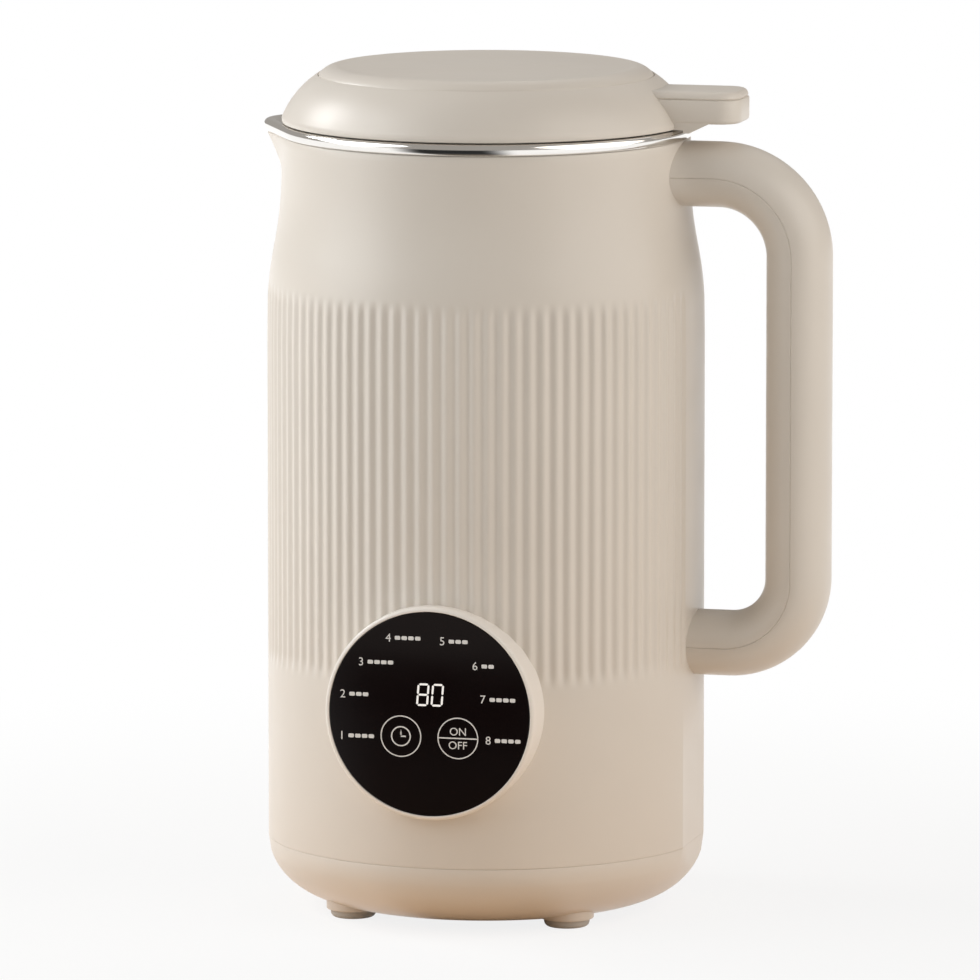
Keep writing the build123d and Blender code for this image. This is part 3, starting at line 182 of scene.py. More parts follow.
shine = maths(paint, "MAXIMUM")
keep = mapped(paint, shadow_near, shadow_far, shadow_glow, 1.0)
share = maths(paint, "MULTIPLY")
blend = paint.new("ShaderNodeMixShader")
painted = paint.new("ShaderNodeOutputMaterial")
for a, b in ((place.outputs["Object"], span.inputs[0]),
             (span.outputs["Value"], warm.inputs["Value"]),
             (path.outputs["Is Camera Ray"], tint_share.inputs[0]),
             (warm.outputs["Result"], tint_share.inputs[1]),
             (tint_share.outputs[0], tint_mix.inputs["Factor"]),
             (tint_mix.outputs["Result"], lit.inputs["Color"]),
             (place.outputs["Object"], outward.inputs[0]),
             (outward.outputs["Vector"], facing.inputs[0]),
             (facing.outputs["Value"], card.inputs["Value"]),
             (path.outputs["Is Camera Ray"], strength.inputs["Factor"]),
             (card.outputs["Result"], strength.inputs["A"]),
             (strength.outputs["Result"], glow.inputs["Strength"]),
             (path.outputs["Is Camera Ray"], seen.inputs[0]),
             (path.outputs["Is Glossy Ray"], seen.inputs[1]),
             (seen.outputs[0], shine.inputs[0]),
             (path.outputs["Is Transmission Ray"], shine.inputs[1]),
             (span.outputs["Value"], keep.inputs["Value"]),
             (keep.outputs["Result"], share.inputs[0]),
             (shine.outputs[0], share.inputs[1]),
             (share.outputs[0], blend.inputs[0]),
             (lit.outputs[0], blend.inputs[1]),
             (glow.outputs[0], blend.inputs[2]),
             (blend.outputs[0], painted.inputs["Surface"])):
    floor_paint.node_tree.links.new(a, b)
floor_mesh.materials.append(floor_paint)


# Base cover. A shallow moulded pan in the body's warm ivory plastic, its lower edge drawn in with
# a wide soft curve, with a flat under the handle and one at the back. Sixteen vent slots open under
# the motor, and the four screws that hold it to the shell are hidden above the feet.
mm = 0.001
usual_crease = 35


def set_in_frame(points):
    """Millimetres about the jug's axis to metres in the frame: scaled, then moved to the axis."""
    return np.asarray(points, float) * mm + np.array((axis_x, axis_y, 0.0))


def smoothed(mesh, crease):
    """Smooth shading, but with edges bent by more than the crease angle kept sharp."""
    mesh.shade_smooth()
    mesh.set_sharp_from_angle(angle=math.radians(crease))


def placed(name, points, faces, crease=usual_crease):
    """New smoothed object from points in metres in the frame and faces of their numbers."""
    mesh = bpy.data.meshes.new(name)
    mesh.from_pydata(points.tolist(), [], faces)
    mesh.update()
    smoothed(mesh, crease)
    piece = bpy.data.objects.new(name, mesh)
    bpy.context.scene.collection.objects.link(piece)
    return piece


def skin(name, grid, rows_closed=False, first_pole=False, last_pole=False, crease=usual_crease):
    """Mesh over a grid of points: each point is joined to its neighbours in four-sided faces.

    Each row runs round and closes. Closed rows also run from the last row back to the first, and
    a pole closes an end row with a fan about the row's middle."""
    rows, columns = grid.shape[:2]
    points = grid.reshape(-1, 3)
    index = np.arange(rows * columns).reshape(rows, columns)
    ring = np.concatenate([index, index[:, :1]], axis=1)
    strip = np.concatenate([ring, ring[:1]], axis=0) if rows_closed else ring
    faces = np.stack([strip[:-1, :-1], strip[:-1, 1:], strip[1:, 1:], strip[1:, :-1]], axis=-1)
    faces = faces.reshape(-1, 4).tolist()
    for wanted, row, turned in ((first_pole, 0, True), (last_pole, rows - 1, False)):
        if wanted:
            middle = len(points)
            points = np.concatenate([points, grid[row].mean(axis=0)[None]])
            pairs = np.stack([ring[row, :-1], ring[row, 1:]], axis=1)
            pairs = pairs[:, ::-1] if turned else pairs
            faces += [(int(a), int(b), middle) for a, b in pairs]
    return placed(name, set_in_frame(points), faces, crease)


def oval_points(centre, across, up, start, end, count):
    """Points on an oval: centre plus the half width times the cosine and the half height times
    the sine of each angle."""
    angles = np.radians(np.linspace(start, end, count))
    return np.stack([centre[0] + across * np.cos(angles), centre[1] + up * np.sin(angles)], 1)


def arc_points(centre, radius, start, end, count):
    """Points on a circle: an oval whose half width and half height are the radius."""
    return oval_points(centre, radius, radius, start, end, count)


def turned_grid(profile, turns):
    """Each (radius, height) of the profile carried round the axis: x, y are radius times cosine
    and sine of the turn, and z is the height."""
    profile = np.asarray(profile, float)
    radius, height = profile[:, 0][:, None], profile[:, 1][:, None]
    flat = np.zeros_like(turns)[None, :]
    return np.stack([radius * np.cos(turns), radius * np.sin(turns), height + flat], axis=-1)


def full_turn(count):
    """Even steps round one turn, from 0 up to but without the full angle."""
    return np.linspace(0, 2 * np.pi, count, endpoint=False)


def held_in_flat(grid, turn, distance, share):
    """Points beyond a plane are drawn back towards it along their own radius.

    The plane stands at the distance from the axis, facing the turn; the share, 0 to 1 by row,
    is how much of the way back they go."""
    reach = grid[..., 0] * math.cos(turn) + grid[..., 1] * math.sin(turn)
    scale = np.where(reach > distance, distance / np.maximum(reach, 1e-9), 1.0)
    scale = 1 - (1 - scale) * np.asarray(share)[:, None]
    out_grid = grid.copy()
    out_grid[..., 0] *= scale
    out_grid[..., 1] *= scale
    return out_grid


def fit(piece, material, body, nodes):
    """Gives a new piece its material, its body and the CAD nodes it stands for."""
    piece.data.materials.clear()
    piece.data.materials.append(material)
    if nodes:
        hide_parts(*nodes)
    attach(piece, body)


def node_group(name, inputs, outputs):
    """Empty shader node group with the given value inputs and outputs."""
    group = bpy.data.node_groups.new(name, "ShaderNodeTree")
    for label, default in inputs:
        socket = group.interface.new_socket(label, in_out="INPUT", socket_type="NodeSocketFloat")
        socket.default_value = default
    for label, kind in outputs:
        group.interface.new_socket(label, in_out="OUTPUT", socket_type=kind)
    return group, group.nodes.new("NodeGroupInput"), group.nodes.new("NodeGroupOutput")


def moulded_group():
    """Spark-eroded mould texture: fine noise for the height, broad noise for the tone, and noise
    about three times finer than the tone's for the gloss."""
    group, given, result = node_group(
        "mould_texture", [("Grain Scale", 1800.0), ("Tone Scale", 22.0)],
        [("Height", "NodeSocketFloat"), ("Tone", "NodeSocketFloat"), ("Gloss", "NodeSocketFloat")])
    place = group.nodes.new("ShaderNodeTexCoord")
    for label, scale, detail in (("Height", "Grain Scale", 2.0), ("Tone", "Tone Scale", 3.0)):
        noise = group.nodes.new("ShaderNodeTexNoise")
        noise.inputs["Detail"].default_value = detail
        group.links.new(place.outputs["Object"], noise.inputs["Vector"])
        group.links.new(given.outputs[scale], noise.inputs["Scale"])
        group.links.new(noise.outputs["Fac"], result.inputs[label])
    finer = maths(group.nodes, "MULTIPLY")
    finer.inputs[1].default_value = 3.1
    streak = group.nodes.new("ShaderNodeTexNoise")
    group.links.new(given.outputs["Tone Scale"], finer.inputs[0])
    group.links.new(place.outputs["Object"], streak.inputs["Vector"])
    group.links.new(finer.outputs[0], streak.inputs["Scale"])
    group.links.new(streak.outputs["Fac"], result.inputs["Gloss"])
    return group


mould_texture = moulded_group()
noise_low, noise_high = 0.3, 0.7
mould_swing = 0.03
mould_strength = 0.25


def ranged(nodes, links, source, low, high):
    """Spreads a noise value's usual span evenly over a range."""
    spread = mapped(nodes, noise_low, noise_high, low, high, "LINEAR")
    links.new(source, spread.inputs["Value"])
    return spread.outputs["Result"]


def toned(nodes, links, source, pale, spread):
    """Mixes a pale colour and one darker by the spread's share, by a noise value."""
    ramp = nodes.new("ShaderNodeValToRGB")
    deep = [value * (1 - spread) for value in pale]
    for stop, at, colour in zip(ramp.color_ramp.elements, (noise_low, noise_high), (deep, pale)):
        stop.position = at
        stop.color = (*colour, 1)
    links.new(source, ramp.inputs["Fac"])
    return ramp.outputs["Color"]


def bumped(nodes, links, source, depth, strength):
    """Turns a height value into a normal, with the depth in millimetres."""
    bump = nodes.new("ShaderNodeBump")
    bump.inputs["Strength"].default_value = strength
    bump.inputs["Distance"].default_value = depth * mm
    links.new(source, bump.inputs["Height"])
    return bump.outputs["Normal"]


def moulded(name, colour, rough, grain=1800.0, depth=0.02, specular=0.5, spread=0.03):
    """Moulded plastic or rubber: two close tones, uneven gloss and the mould's fine texture."""
    material = bpy.data.materials.new(name)
    material.use_nodes = True
    nodes, links = material.node_tree.nodes, material.node_tree.links
    shader = nodes["Principled BSDF"]
    shader.inputs["Specular IOR Level"].default_value = specular
    texture = nodes.new("ShaderNodeGroup")
    texture.node_tree = mould_texture
    texture.inputs["Grain Scale"].default_value = grain
    links.new(toned(nodes, links, texture.outputs["Tone"], colour, spread),
              shader.inputs["Base Color"])
    links.new(ranged(nodes, links, texture.outputs["Gloss"], rough - mould_swing,
                     rough + mould_swing), shader.inputs["Roughness"])
    links.new(bumped(nodes, links, texture.outputs["Height"], depth, mould_strength),
              shader.inputs["Normal"])
    return material


ivory = moulded("warm_ivory_plastic", (0.735, 0.672, 0.598), 0.36, depth=0.03)
base_low = 2.3
base_floor = 4.9
base_wall = 2.2
seam_height = 20.5
body_radius = 62.5
flat_half = 13.5
flat_distance = math.sqrt(body_radius ** 2 - flat_half ** 2)
edge_reach = 22.0
edge_top = 20.3
edge_foot = body_radius - edge_reach
vent_field = 30.0
middle_radius = 8.0
middle_overlap = 0.4
outer_edge = oval_points((edge_foot, edge_top), edge_reach, edge_top - base_low, -90, -14, 24)
inner_edge = oval_points((edge_foot, edge_top), edge_reach - base_wall, edge_top - base_floor,
                         0, -90, 14)
base_profile = np.concatenate([
    [(middle_radius, base_low), (vent_field, base_low)], outer_edge,
    [(body_radius - 0.02, seam_height - 0.32), (body_radius - 0.10, seam_height - 0.12),
     (body_radius - 0.26, seam_height - 0.01), (body_radius - base_wall, seam_height)], inner_edge,
    [(vent_field, base_floor), (middle_radius, base_floor)]])
base_grid = turned_grid(base_profile, full_turn(360))
for flat_turn in (0.0, math.pi / 2):
    base_grid = held_in_flat(base_grid, flat_turn, flat_distance, np.ones(len(base_profile)))
base_pan = skin("base_cover", base_grid, rows_closed=True)


def round_plate(name, radius, low, high, x=0.0, y=0.0, edge=0.3):
    """Closed round plate with a small rounded edge: a fan, the edge's arc, the side, a fan."""
    lower = arc_points((radius - edge, low + edge), edge, -90, 0, 4)
    upper = arc_points((radius - edge, high - edge), edge, 0, 90, 4)
    grid = turned_grid(np.concatenate([lower, upper]), full_turn(48)) + (x, y, 0.0)
    return skin(name, grid, first_pole=True, last_pole=True)


def read_rows(items, label):
    """A three-number value of each of a mesh's items, as an array with one row for each."""
    flat = np.empty(len(items) * 3)
    items.foreach_get(label, flat)
    return flat.reshape(-1, 3)


def merged(name, pieces):
    """One object from several, with their meshes laid together."""
    points, faces, count = [], [], 0
    for piece in pieces:
        mesh = piece.data
        points.append(read_rows(mesh.vertices, "co"))
        faces += [[count + corner for corner in face.vertices] for face in mesh.polygons]
        count += len(mesh.vertices)
        bpy.data.objects.remove(piece)
    return placed(name, np.concatenate(points), faces)


def cut(piece, cutter):
    """Takes the cutter's volume out of a piece and keeps the result as its mesh."""
    modifier = piece.modifiers.new("cut", "BOOLEAN")
    modifier.operation = "DIFFERENCE"
    modifier.solver = "EXACT"
    modifier.object = cutter
    graph = bpy.context.evaluated_depsgraph_get()
    mesh = bpy.data.meshes.new_from_object(piece.evaluated_get(graph))
    piece.modifiers.clear()
    piece.data = mesh
    smoothed(mesh, usual_crease)
    bpy.data.objects.remove(cutter)


def prism(name, outline, levels, axis):
    """Closed bar: a flat outline at two levels of the axis that it lies across, with end fans."""
    outline = np.asarray(outline, float)
    grid = np.stack([np.insert(outline, axis, level, axis=1) for level in levels])
    return skin(name, grid, first_pole=True, last_pole=True)


def slot_outline(start, end, width, turn):
    """Two half circles about points at the start and end of a slot, turned about the axis."""
    half = width / 2
    x, y = np.concatenate([arc_points((end - half, 0), half, -90, 90, 7),
                           arc_points((start + half, 0), half, 90, 270, 7)]).T
    return np.stack([x * math.cos(turn) - y * math.sin(turn),
                     x * math.sin(turn) + y * math.cos(turn)], 1)


foot_circle = 44.3
foot_places = [(foot_circle * math.cos(turn), foot_circle * math.sin(turn))
               for turn in np.radians((225, 315, 135, 45))]
seat_radius = 7.7
seat_top = 6.1
base_plates = [round_plate("base_middle", middle_radius + middle_overlap, base_low, base_floor)]
base_plates += [round_plate("foot_seat", seat_radius, base_low, seat_top, x, y, edge=0.5)
                for x, y in foot_places]
base_cover = merged("base_cover_pan", [base_pan] + base_plates)
vent_count = 16
vent_start, vent_end = 11.0, 27.0
vent_width = 2.4
vent_bars = [prism("vent", slot_outline(vent_start, vent_end, vent_width, turn),
                   (base_low - 1, base_low + 4), 2) for turn in full_turn(vent_count)]
cut(base_cover, merged("base_cutters", vent_bars))
fit(base_cover, ivory, "body", ["base_cover"])


# Feet. Four off-white rubber buttons with a rounded lower edge. Each is moulded in one piece and
# pushed up into a round seat of the base cover, over the screw's head.
foot_rubber = moulded("foot_rubber", (0.52, 0.50, 0.47), 0.7, grain=900.0, depth=0.05)
foot_radius = 6.5
foot_round = 1.5
foot_top = 3.5
foot_profile = np.concatenate([
    [(3.0, 0.0)], arc_points((foot_radius - foot_round, foot_round), foot_round, -90, 0, 8),
    [(foot_radius, foot_top - 0.3), (foot_radius - 0.3, foot_top), (2.4, foot_top)]])
foot_grid = turned_grid(foot_profile, full_turn(48))
for foot_name, (x, y) in zip(("front_left", "front_right", "rear_left", "rear_right"),
                             foot_places):
    foot = skin("foot_pad_" + foot_name, foot_grid + (x, y, 0.0), first_pole=True, last_pole=True)
    fit(foot, foot_rubber, "body", ["foot_" + foot_name])


# Motor and boards. The fan-cooled motor stands on the base cover between two cast brackets, and
# the power board stands beside it. These keep their CAD meshes and get the finishes of cast
# aluminium, laminated steel, enamelled copper, zinc-plated screws and black moulded plastic.
def metal_group():
    """Fine drawn lines: noise stretched along X and Y for the height, and broad noise for the
    gloss."""
    group, given, result = node_group(
        "metal_lines", [("Along", 40.0), ("Across", 2600.0)],
        [("Height", "NodeSocketFloat"), ("Gloss", "NodeSocketFloat")])
    place = group.nodes.new("ShaderNodeTexCoord")
    stretch = group.nodes.new("ShaderNodeCombineXYZ")
    for axis, label in (("X", "Along"), ("Y", "Along"), ("Z", "Across")):
        group.links.new(given.outputs[label], stretch.inputs[axis])
    scaled = maths(group.nodes, "MULTIPLY", "ShaderNodeVectorMath")
    group.links.new(place.outputs["Object"], scaled.inputs[0])
    group.links.new(stretch.outputs[0], scaled.inputs[1])
    lines = group.nodes.new("ShaderNodeTexNoise")
    lines.inputs["Scale"].default_value = 1.0
    lines.inputs["Detail"].default_value = 3.0
    group.links.new(scaled.outputs[0], lines.inputs["Vector"])
    group.links.new(lines.outputs["Fac"], result.inputs["Height"])
    smear = group.nodes.new("ShaderNodeTexNoise")
    smear.inputs["Scale"].default_value = 60.0
    group.links.new(place.outputs["Object"], smear.inputs["Vector"])
    group.links.new(smear.outputs["Fac"], result.inputs["Gloss"])
    return group


metal_lines = metal_group()
metal_swing = 0.2


def metal(name, colour, rough, along=40.0, across=2600.0, depth=0.004, spread=0.04, strength=0.3):
    """Bare metal: drawn lines in the height, and a slightly uneven gloss and tone."""
    material = bpy.data.materials.new(name)
    material.use_nodes = True
    nodes, links = material.node_tree.nodes, material.node_tree.links
    shader = nodes["Principled BSDF"]
    shader.inputs["Metallic"].default_value = 1.0
    texture = nodes.new("ShaderNodeGroup")
    texture.node_tree = metal_lines
    texture.inputs["Along"].default_value = along
    texture.inputs["Across"].default_value = across
    links.new(toned(nodes, links, texture.outputs["Gloss"], colour, spread),
              shader.inputs["Base Color"])
    links.new(ranged(nodes, links, texture.outputs["Gloss"], rough * (1 - metal_swing),
                     rough * (1 + metal_swing)), shader.inputs["Roughness"])
    links.new(bumped(nodes, links, texture.outputs["Height"], depth, strength),
              shader.inputs["Normal"])
    return material


def dress(material, *nodes):
    """Puts a material on CAD nodes that keep their own mesh."""
    for node in nodes:
        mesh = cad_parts[node].data
        mesh.materials.clear()
        mesh.materials.append(material)


zinc = metal("zinc_plated_steel", (0.55, 0.55, 0.54), 0.3)
cast = metal("cast_aluminium", (0.60, 0.60, 0.60), 0.5, along=500.0, across=500.0, depth=0.06)
laminated = metal("laminated_steel", (0.24, 0.24, 0.25), 0.45, along=20.0, across=3000.0,
                  depth=0.05)
enamelled = metal("enamelled_copper", (0.60, 0.24, 0.10), 0.35, along=60.0, across=1600.0,
                  depth=0.05)
segment_copper = metal("segment_copper", (0.72, 0.40, 0.24), 0.25)
carbon = moulded("carbon_block", (0.035, 0.035, 0.037), 0.6, grain=700.0)
black_plastic = moulded("black_plastic", (0.022, 0.022, 0.024), 0.45, spread=0.15)
board_green = moulded("board_lacquer", (0.02, 0.16, 0.06), 0.3, grain=500.0, spread=0.2)
dress(zinc, "base_screws", "motor_screws", "standoffs", "upper_bearing", "lower_bearing",
      "motor_shaft", "handle_screws", "lid_screws", "touch_springs")
dress(cast, "upper_bracket", "lower_bracket", "heating_plate")
dress(laminated, "stator_core", "armature_core")
dress(enamelled, "stator_windings", "armature_windings")
dress(segment_copper, "commutator")
dress(carbon, "carbon_brushes")
dress(black_plastic, "brush_holders", "cooling_fan", "board_relay", "board_transformer",
      "board_capacitor", "readout_module", "reed_sensor", "thermal_cutout", "lid_magnet")
dress(board_green, "power_board", "control_board")


# Steel cup. One deep-drawn stainless pot, 108 mm across inside, drawn out to a pouring lip and
# folded over at the top into a polished rim that covers the shell's edge. Its round-cornered floor
# carries the shaft seal and a temperature probe, and its wall the overflow probe.
def drop_radius(turns, radius, reach, nose):
    """Distance from the axis to a drop outline at each turn.

    Within the nose's angle of -X it is the nose circle seen from the axis, then the straight
    flank that touches both circles (radius over the cosine of the angle to its foot), and beyond
    the flank the round body."""
    off = np.abs(np.angle(-np.exp(1j * turns)))
    reach = np.maximum(reach, radius + 1e-6)
    centre = reach - nose
    lean = np.arccos(np.clip((radius - nose) / centre, -1, 1))
    nose_turn = np.arctan2(nose * np.sin(lean), centre + nose * np.cos(lean))
    tip = centre * np.cos(off) + np.sqrt(np.maximum(nose ** 2 - (centre * np.sin(off)) ** 2, 0))
    flank = radius / np.maximum(np.cos(off - lean), 0.1)
    return np.where(off < nose_turn, tip, np.where(off < lean, flank, radius))


spout_low = 203.9
shell_top = 221.9
rim_top = 225.4
spout_height = shell_top - spout_low
neck_radius = 58.3
spout_nose = 14.0
spout_throw = 5.9
spout_power = 1.6


def spout_share(height):
    """How far up the spout a height is: 0 at its root and below, 1 at the shell's top."""
    return np.clip((height - spout_low) / spout_height, 0, 1)


def spouted_ring(turns, radius, height, share, nose, sink=0.0, most=np.inf):
    """Ring of points at a height, round the body and out into the spout.

    The drop outline reaches beyond the radius by the spout's throw times the share to the spout's
    power. Its distances, less the sink and no more than the most, are multiplied by each turn's
    cosine and sine."""
    reach = radius + spout_throw * share ** spout_power
    around = np.minimum(drop_radius(turns, radius, reach, nose) - sink, most)
    return np.stack([around * np.cos(turns), around * np.sin(turns),
                     np.full_like(turns, height)], -1)


polished_steel = metal("polished_stainless", (0.80, 0.78, 0.75), 0.10, along=30.0, across=900.0,
                       depth=0.002, strength=0.15)
cup_steel = metal("drawn_stainless", (0.60, 0.59, 0.57), 0.24, along=30.0, across=2200.0)
cup_floor = 95.9
cup_radius = 54.0
cup_wall = 0.8
cup_corner = 12.0
cup_hole = 9.6
cup_middle = 150.0
cup_outside = cup_radius + cup_wall
corner_centre = (cup_radius - cup_corner, cup_floor + cup_corner)
plain_nose, outer_nose, inner_nose = 11.0, 12.1, 11.3
rim_radius = 59.05
rim_fold = 57.0
outside_wall = np.concatenate([
    [(cup_hole, cup_floor - cup_wall), (corner_centre[0], cup_floor - cup_wall)],
    arc_points(corner_centre, cup_corner + cup_wall, -80, 0, 10),
    [(cup_outside, cup_middle), (cup_outside, spout_low)]])
rim_points = np.concatenate([
    [(rim_fold, shell_top + 0.02)],
    arc_points((rim_radius - 1.3, shell_top + 1.35), 1.3, -90, 0, 6),
    arc_points((rim_radius - 1.4, rim_top - 1.4), 1.4, 0, 90, 8),
    [(56.6, rim_top), (55.6, rim_top - 0.25), (54.6, rim_top - 1.0), (54.1, rim_top - 2.2)]])
inside_wall = np.concatenate([
    [(cup_radius, spout_low), (cup_radius, cup_middle)],
    arc_points(corner_centre, cup_corner, 0, -90, 12), [(cup_hole, cup_floor)]])
cup_rows = [(radius, height, 0.0, plain_nose) for radius, height in outside_wall]
cup_rows += [(cup_outside, spout_low + spout_height * share, share, outer_nose)
             for share in (0.25, 0.5, 0.75, 0.98)]
cup_rows += [(radius, height, 1.0, spout_nose + radius - neck_radius)
             for radius, height in rim_points]
cup_rows += [(cup_radius, spout_low + spout_height * share, share, inner_nose)
             for share in (1.0, 0.75, 0.5, 0.25)]
cup_rows += [(radius, height, 0.0, plain_nose) for radius, height in inside_wall]
cup_turns = full_turn(360)
cup = skin("steel_cup", np.stack([spouted_ring(cup_turns, *row) for row in cup_rows]),
           rows_closed=True)
fit(cup, cup_steel, "body", ["inner_cup"])
cup.data.materials.append(polished_steel)
face_heights = read_rows(cup.data.polygons, "center")[:, 2]
cup.data.polygons.foreach_set("material_index",
                              (face_heights > (shell_top - 0.1) * mm).astype(np.int32))

blade_steel = metal("blade_steel", (0.62, 0.61, 0.60), 0.2, along=300.0, across=1500.0)
heater_steel = metal("heater_sheath", (0.42, 0.40, 0.38), 0.4, along=200.0, across=900.0)
seal_plastic = moulded("seal_plastic", (0.62, 0.60, 0.56), 0.4)
silicone = moulded("silicone", (0.55, 0.53, 0.50), 0.55, grain=700.0)
dress(heater_steel, "heating_element")
dress(blade_steel, "temperature_sensor", "overflow_probe", "seal_nut", "blade_spacer",
      "lower_blade", "blade_washer", "upper_blade", "blade_nut")
dress(seal_plastic, "seal_housing", "lid_inner_plate")
dress(silicone, "shaft_seal", "lid_seal")


# Outer shell. One tall moulding in warm ivory plastic: a soft shoulder draws it in by 4 mm to the
# neck, the neck runs out into the spout, and a band of fine upright ribs goes round below the
# shoulder, fading out at both ends and left out behind the handle.
shoulder_low = 170.0
neck_low = 212.0
shell_wall = 2.2
nose_wall = 1.6
flat_wall = 1.6
rib_count = 100
rib_depth = 0.6
rib_low = 70.6
rib_high = 181.6
rib_fade = 6.0
plain_half = math.radians(10.8)
plain_fade = math.radians(1.8)
under_handle_top, under_handle_fade = 62.0, 14.0
behind_inlet_top, behind_inlet_fade = 62.8, 1.2
top_draw = 0.995


def shoulder_radius(height, inset):
    """Two equal arcs, the first bending in from the body and the second back to upright."""
    wide, slim = body_radius - inset, neck_radius - inset
    step = (wide - slim) / 2
    rise = (neck_low - shoulder_low) / 2
    bend = (step ** 2 + rise ** 2) / (2 * step)
    lower = np.clip(height - shoulder_low, 0, rise)
    upper = np.clip(neck_low - height, 0, rise)
    first = wide - (bend - np.sqrt(bend ** 2 - lower ** 2))
    second = slim + (bend - np.sqrt(bend ** 2 - upper ** 2))
    return np.where(height < shoulder_low + rise, first, second)


def smooth_step(value):
    """Rises from 0 to 1 as three times the square less twice the cube."""
    value = np.clip(value, 0, 1)
    return value * value * (3 - 2 * value)


shell_turns = full_turn(rib_count * 12)
fade_levels = np.linspace(0, rib_fade, 9)
shell_levels = np.unique(np.concatenate([
    [21.4, 30, 40, 46, 49, 52, 55, 58, 61, 64, 67], rib_low + fade_levels,
    [95, 115, 135, 155, 165], rib_high - fade_levels, np.linspace(rib_high + 1.5, neck_low, 14),
    [213.5, 215, 216.5, 218, 219.5, 221.3]]))
off_handle = np.abs(np.angle(np.exp(1j * shell_turns)))
rib_here = smooth_step((off_handle - plain_half) / plain_fade)
wave = 0.5 * rib_depth * (1 - np.cos(rib_count * shell_turns)) * rib_here
rib_share = (smooth_step((shell_levels - rib_low) / rib_fade)
             * smooth_step((rib_high - shell_levels) / rib_fade))
outer_rows = np.stack([
    spouted_ring(shell_turns, radius, level, spout_share(level), spout_nose, sink=wave * share)
    for level, radius, share in zip(shell_levels, shoulder_radius(shell_levels, 0.0), rib_share)])
for turn, top, fade in ((0.0, under_handle_top, under_handle_fade),
                        (math.pi / 2, behind_inlet_top, behind_inlet_fade)):
    outer_rows = held_in_flat(outer_rows, turn, flat_distance,
                              smooth_step((top - shell_levels) / fade))
seam_edge = []
for back, rise in ((0.03, 0.01), (0.01, 0.04), (0.0, 0.12)):
    edge_row = outer_rows[0].copy()
    edge_length = np.hypot(edge_row[:, 0], edge_row[:, 1])[:, None]
    edge_row[:, :2] *= (edge_length - back) / edge_length
    edge_row[:, 2] = seam_height + rise
    seam_edge.append(edge_row)
top_edge = outer_rows[-1] * (top_draw, top_draw, 0.0) + (0.0, 0.0, shell_top)
inner_levels = np.array((shell_top, 217.0, neck_low, 206.0, 198.0, 190.0, 182.0, shoulder_low,
                         60.0, seam_height))
inner_rows = np.stack([
    spouted_ring(shell_turns, radius, level, spout_share(level), spout_nose - nose_wall,
                 most=flat_distance - flat_wall)
    for level, radius in zip(inner_levels, shoulder_radius(inner_levels, shell_wall))])
shell = skin("ribbed_shell",
             np.concatenate([np.stack(seam_edge), outer_rows, top_edge[None], inner_rows]),
             rows_closed=True, crease=50)
panel_height = 65.3
bezel_radius = 30.3


def lying_grid(profile, turns, x=0.0, z=0.0):
    """Each (radius, y) of the profile carried round an axis along Y through x and z."""
    profile = np.asarray(profile, float)
    radius, along = profile[:, 0][:, None], profile[:, 1][:, None]
    flat = np.zeros_like(turns)[None, :]
    return np.stack([x + radius * np.cos(turns), along + flat, z + radius * np.sin(turns)],
                    axis=-1)


hole_radius = bezel_radius - 0.2
hole_back, hole_front = -40.0, -75.0
hole = skin("panel_hole", lying_grid([(hole_radius, hole_back), (hole_radius, hole_front)],
                                     full_turn(96), z=panel_height),
            first_pole=True, last_pole=True)
inlet_height = 41.0
inlet_half_width = 9.9
inlet_half_height = 13.8
inlet_near, inlet_far = 40.0, 70.0
inlet_hole = prism("inlet_hole", [(-inlet_half_width, inlet_near), (inlet_half_width, inlet_near),
                                  (inlet_half_width, inlet_far), (-inlet_half_width, inlet_far)],
                   (inlet_height - inlet_half_height, inlet_height + inlet_half_height), 2)
cut(shell, merged("shell_cutters", [hole, inlet_hole]))
fit(shell, ivory, "body", ["outer_shell"])


# Inlet. A standard three-pin appliance socket in black plastic stands upright on the rear flat,
# with three flat plated pins.
plated_brass = metal("plated_brass", (0.70, 0.60, 0.38), 0.25)
dress(black_plastic, "inlet_housing")
dress(plated_brass, "inlet_pins")


# Panel. A round black glass is set in a proud ring of paler ivory on the front. The print on the
# glass is generic: eight numbers for the programmes, a timer ring, an ON and OFF ring and a lit
# two-figure readout above them.
bezel_front, bezel_step, bezel_back = -67.0, -60.0, -53.0
bezel_inside = 29.1
bezel_hole = 27.8
bezel_lip, bezel_round = 0.15, 1.0
bezel_profile = np.concatenate([
    [(bezel_inside, bezel_step), (bezel_inside, bezel_front + 0.3)],
    arc_points((bezel_inside + bezel_lip, bezel_front + bezel_lip), bezel_lip, 180, 270, 4),
    arc_points((bezel_radius - bezel_round, bezel_front + bezel_round), bezel_round, -90, 0, 9),
    [(bezel_radius, bezel_back), (bezel_hole, bezel_back), (bezel_hole, bezel_step)]])
panel_turns = full_turn(160)
bezel = skin("panel_ring", lying_grid(bezel_profile[::-1], panel_turns, z=panel_height),
             rows_closed=True)
ring_ivory = moulded("light_ivory_plastic", (0.86, 0.80, 0.735), 0.36, depth=0.03)
fit(bezel, ring_ivory, "body", ["panel_bezel"])
glass_front, glass_back = -66.8, -64.8
glass_radius = 29.0
glass_round = 0.25
glass_profile = np.concatenate([
    arc_points((glass_radius - glass_round, glass_front + glass_round), glass_round, -90, 0, 4),
    [(glass_radius, glass_back)]])
glass = skin("panel_disc", lying_grid(glass_profile[::-1], panel_turns, z=panel_height),
             first_pole=True, last_pole=True)
black_glass = moulded("black_printed_glass", (0.0065, 0.0034, 0.0034), 0.16, grain=60.0,
                      depth=0.002, spread=0.2, specular=0.28)
fit(glass, black_glass, "body", ["panel_glass"])
white_print = moulded("white_print", (0.80, 0.79, 0.77), 0.45, grain=400.0)
print_front = glass_front - 0.03
print_back = glass_front + 0.05


def plate_from_outline(name, outline):
    """Thin plate on the glass: the closed outline at the print's front, and again just behind."""
    return prism(name, outline + (0, panel_height), (print_back, print_front), 1)


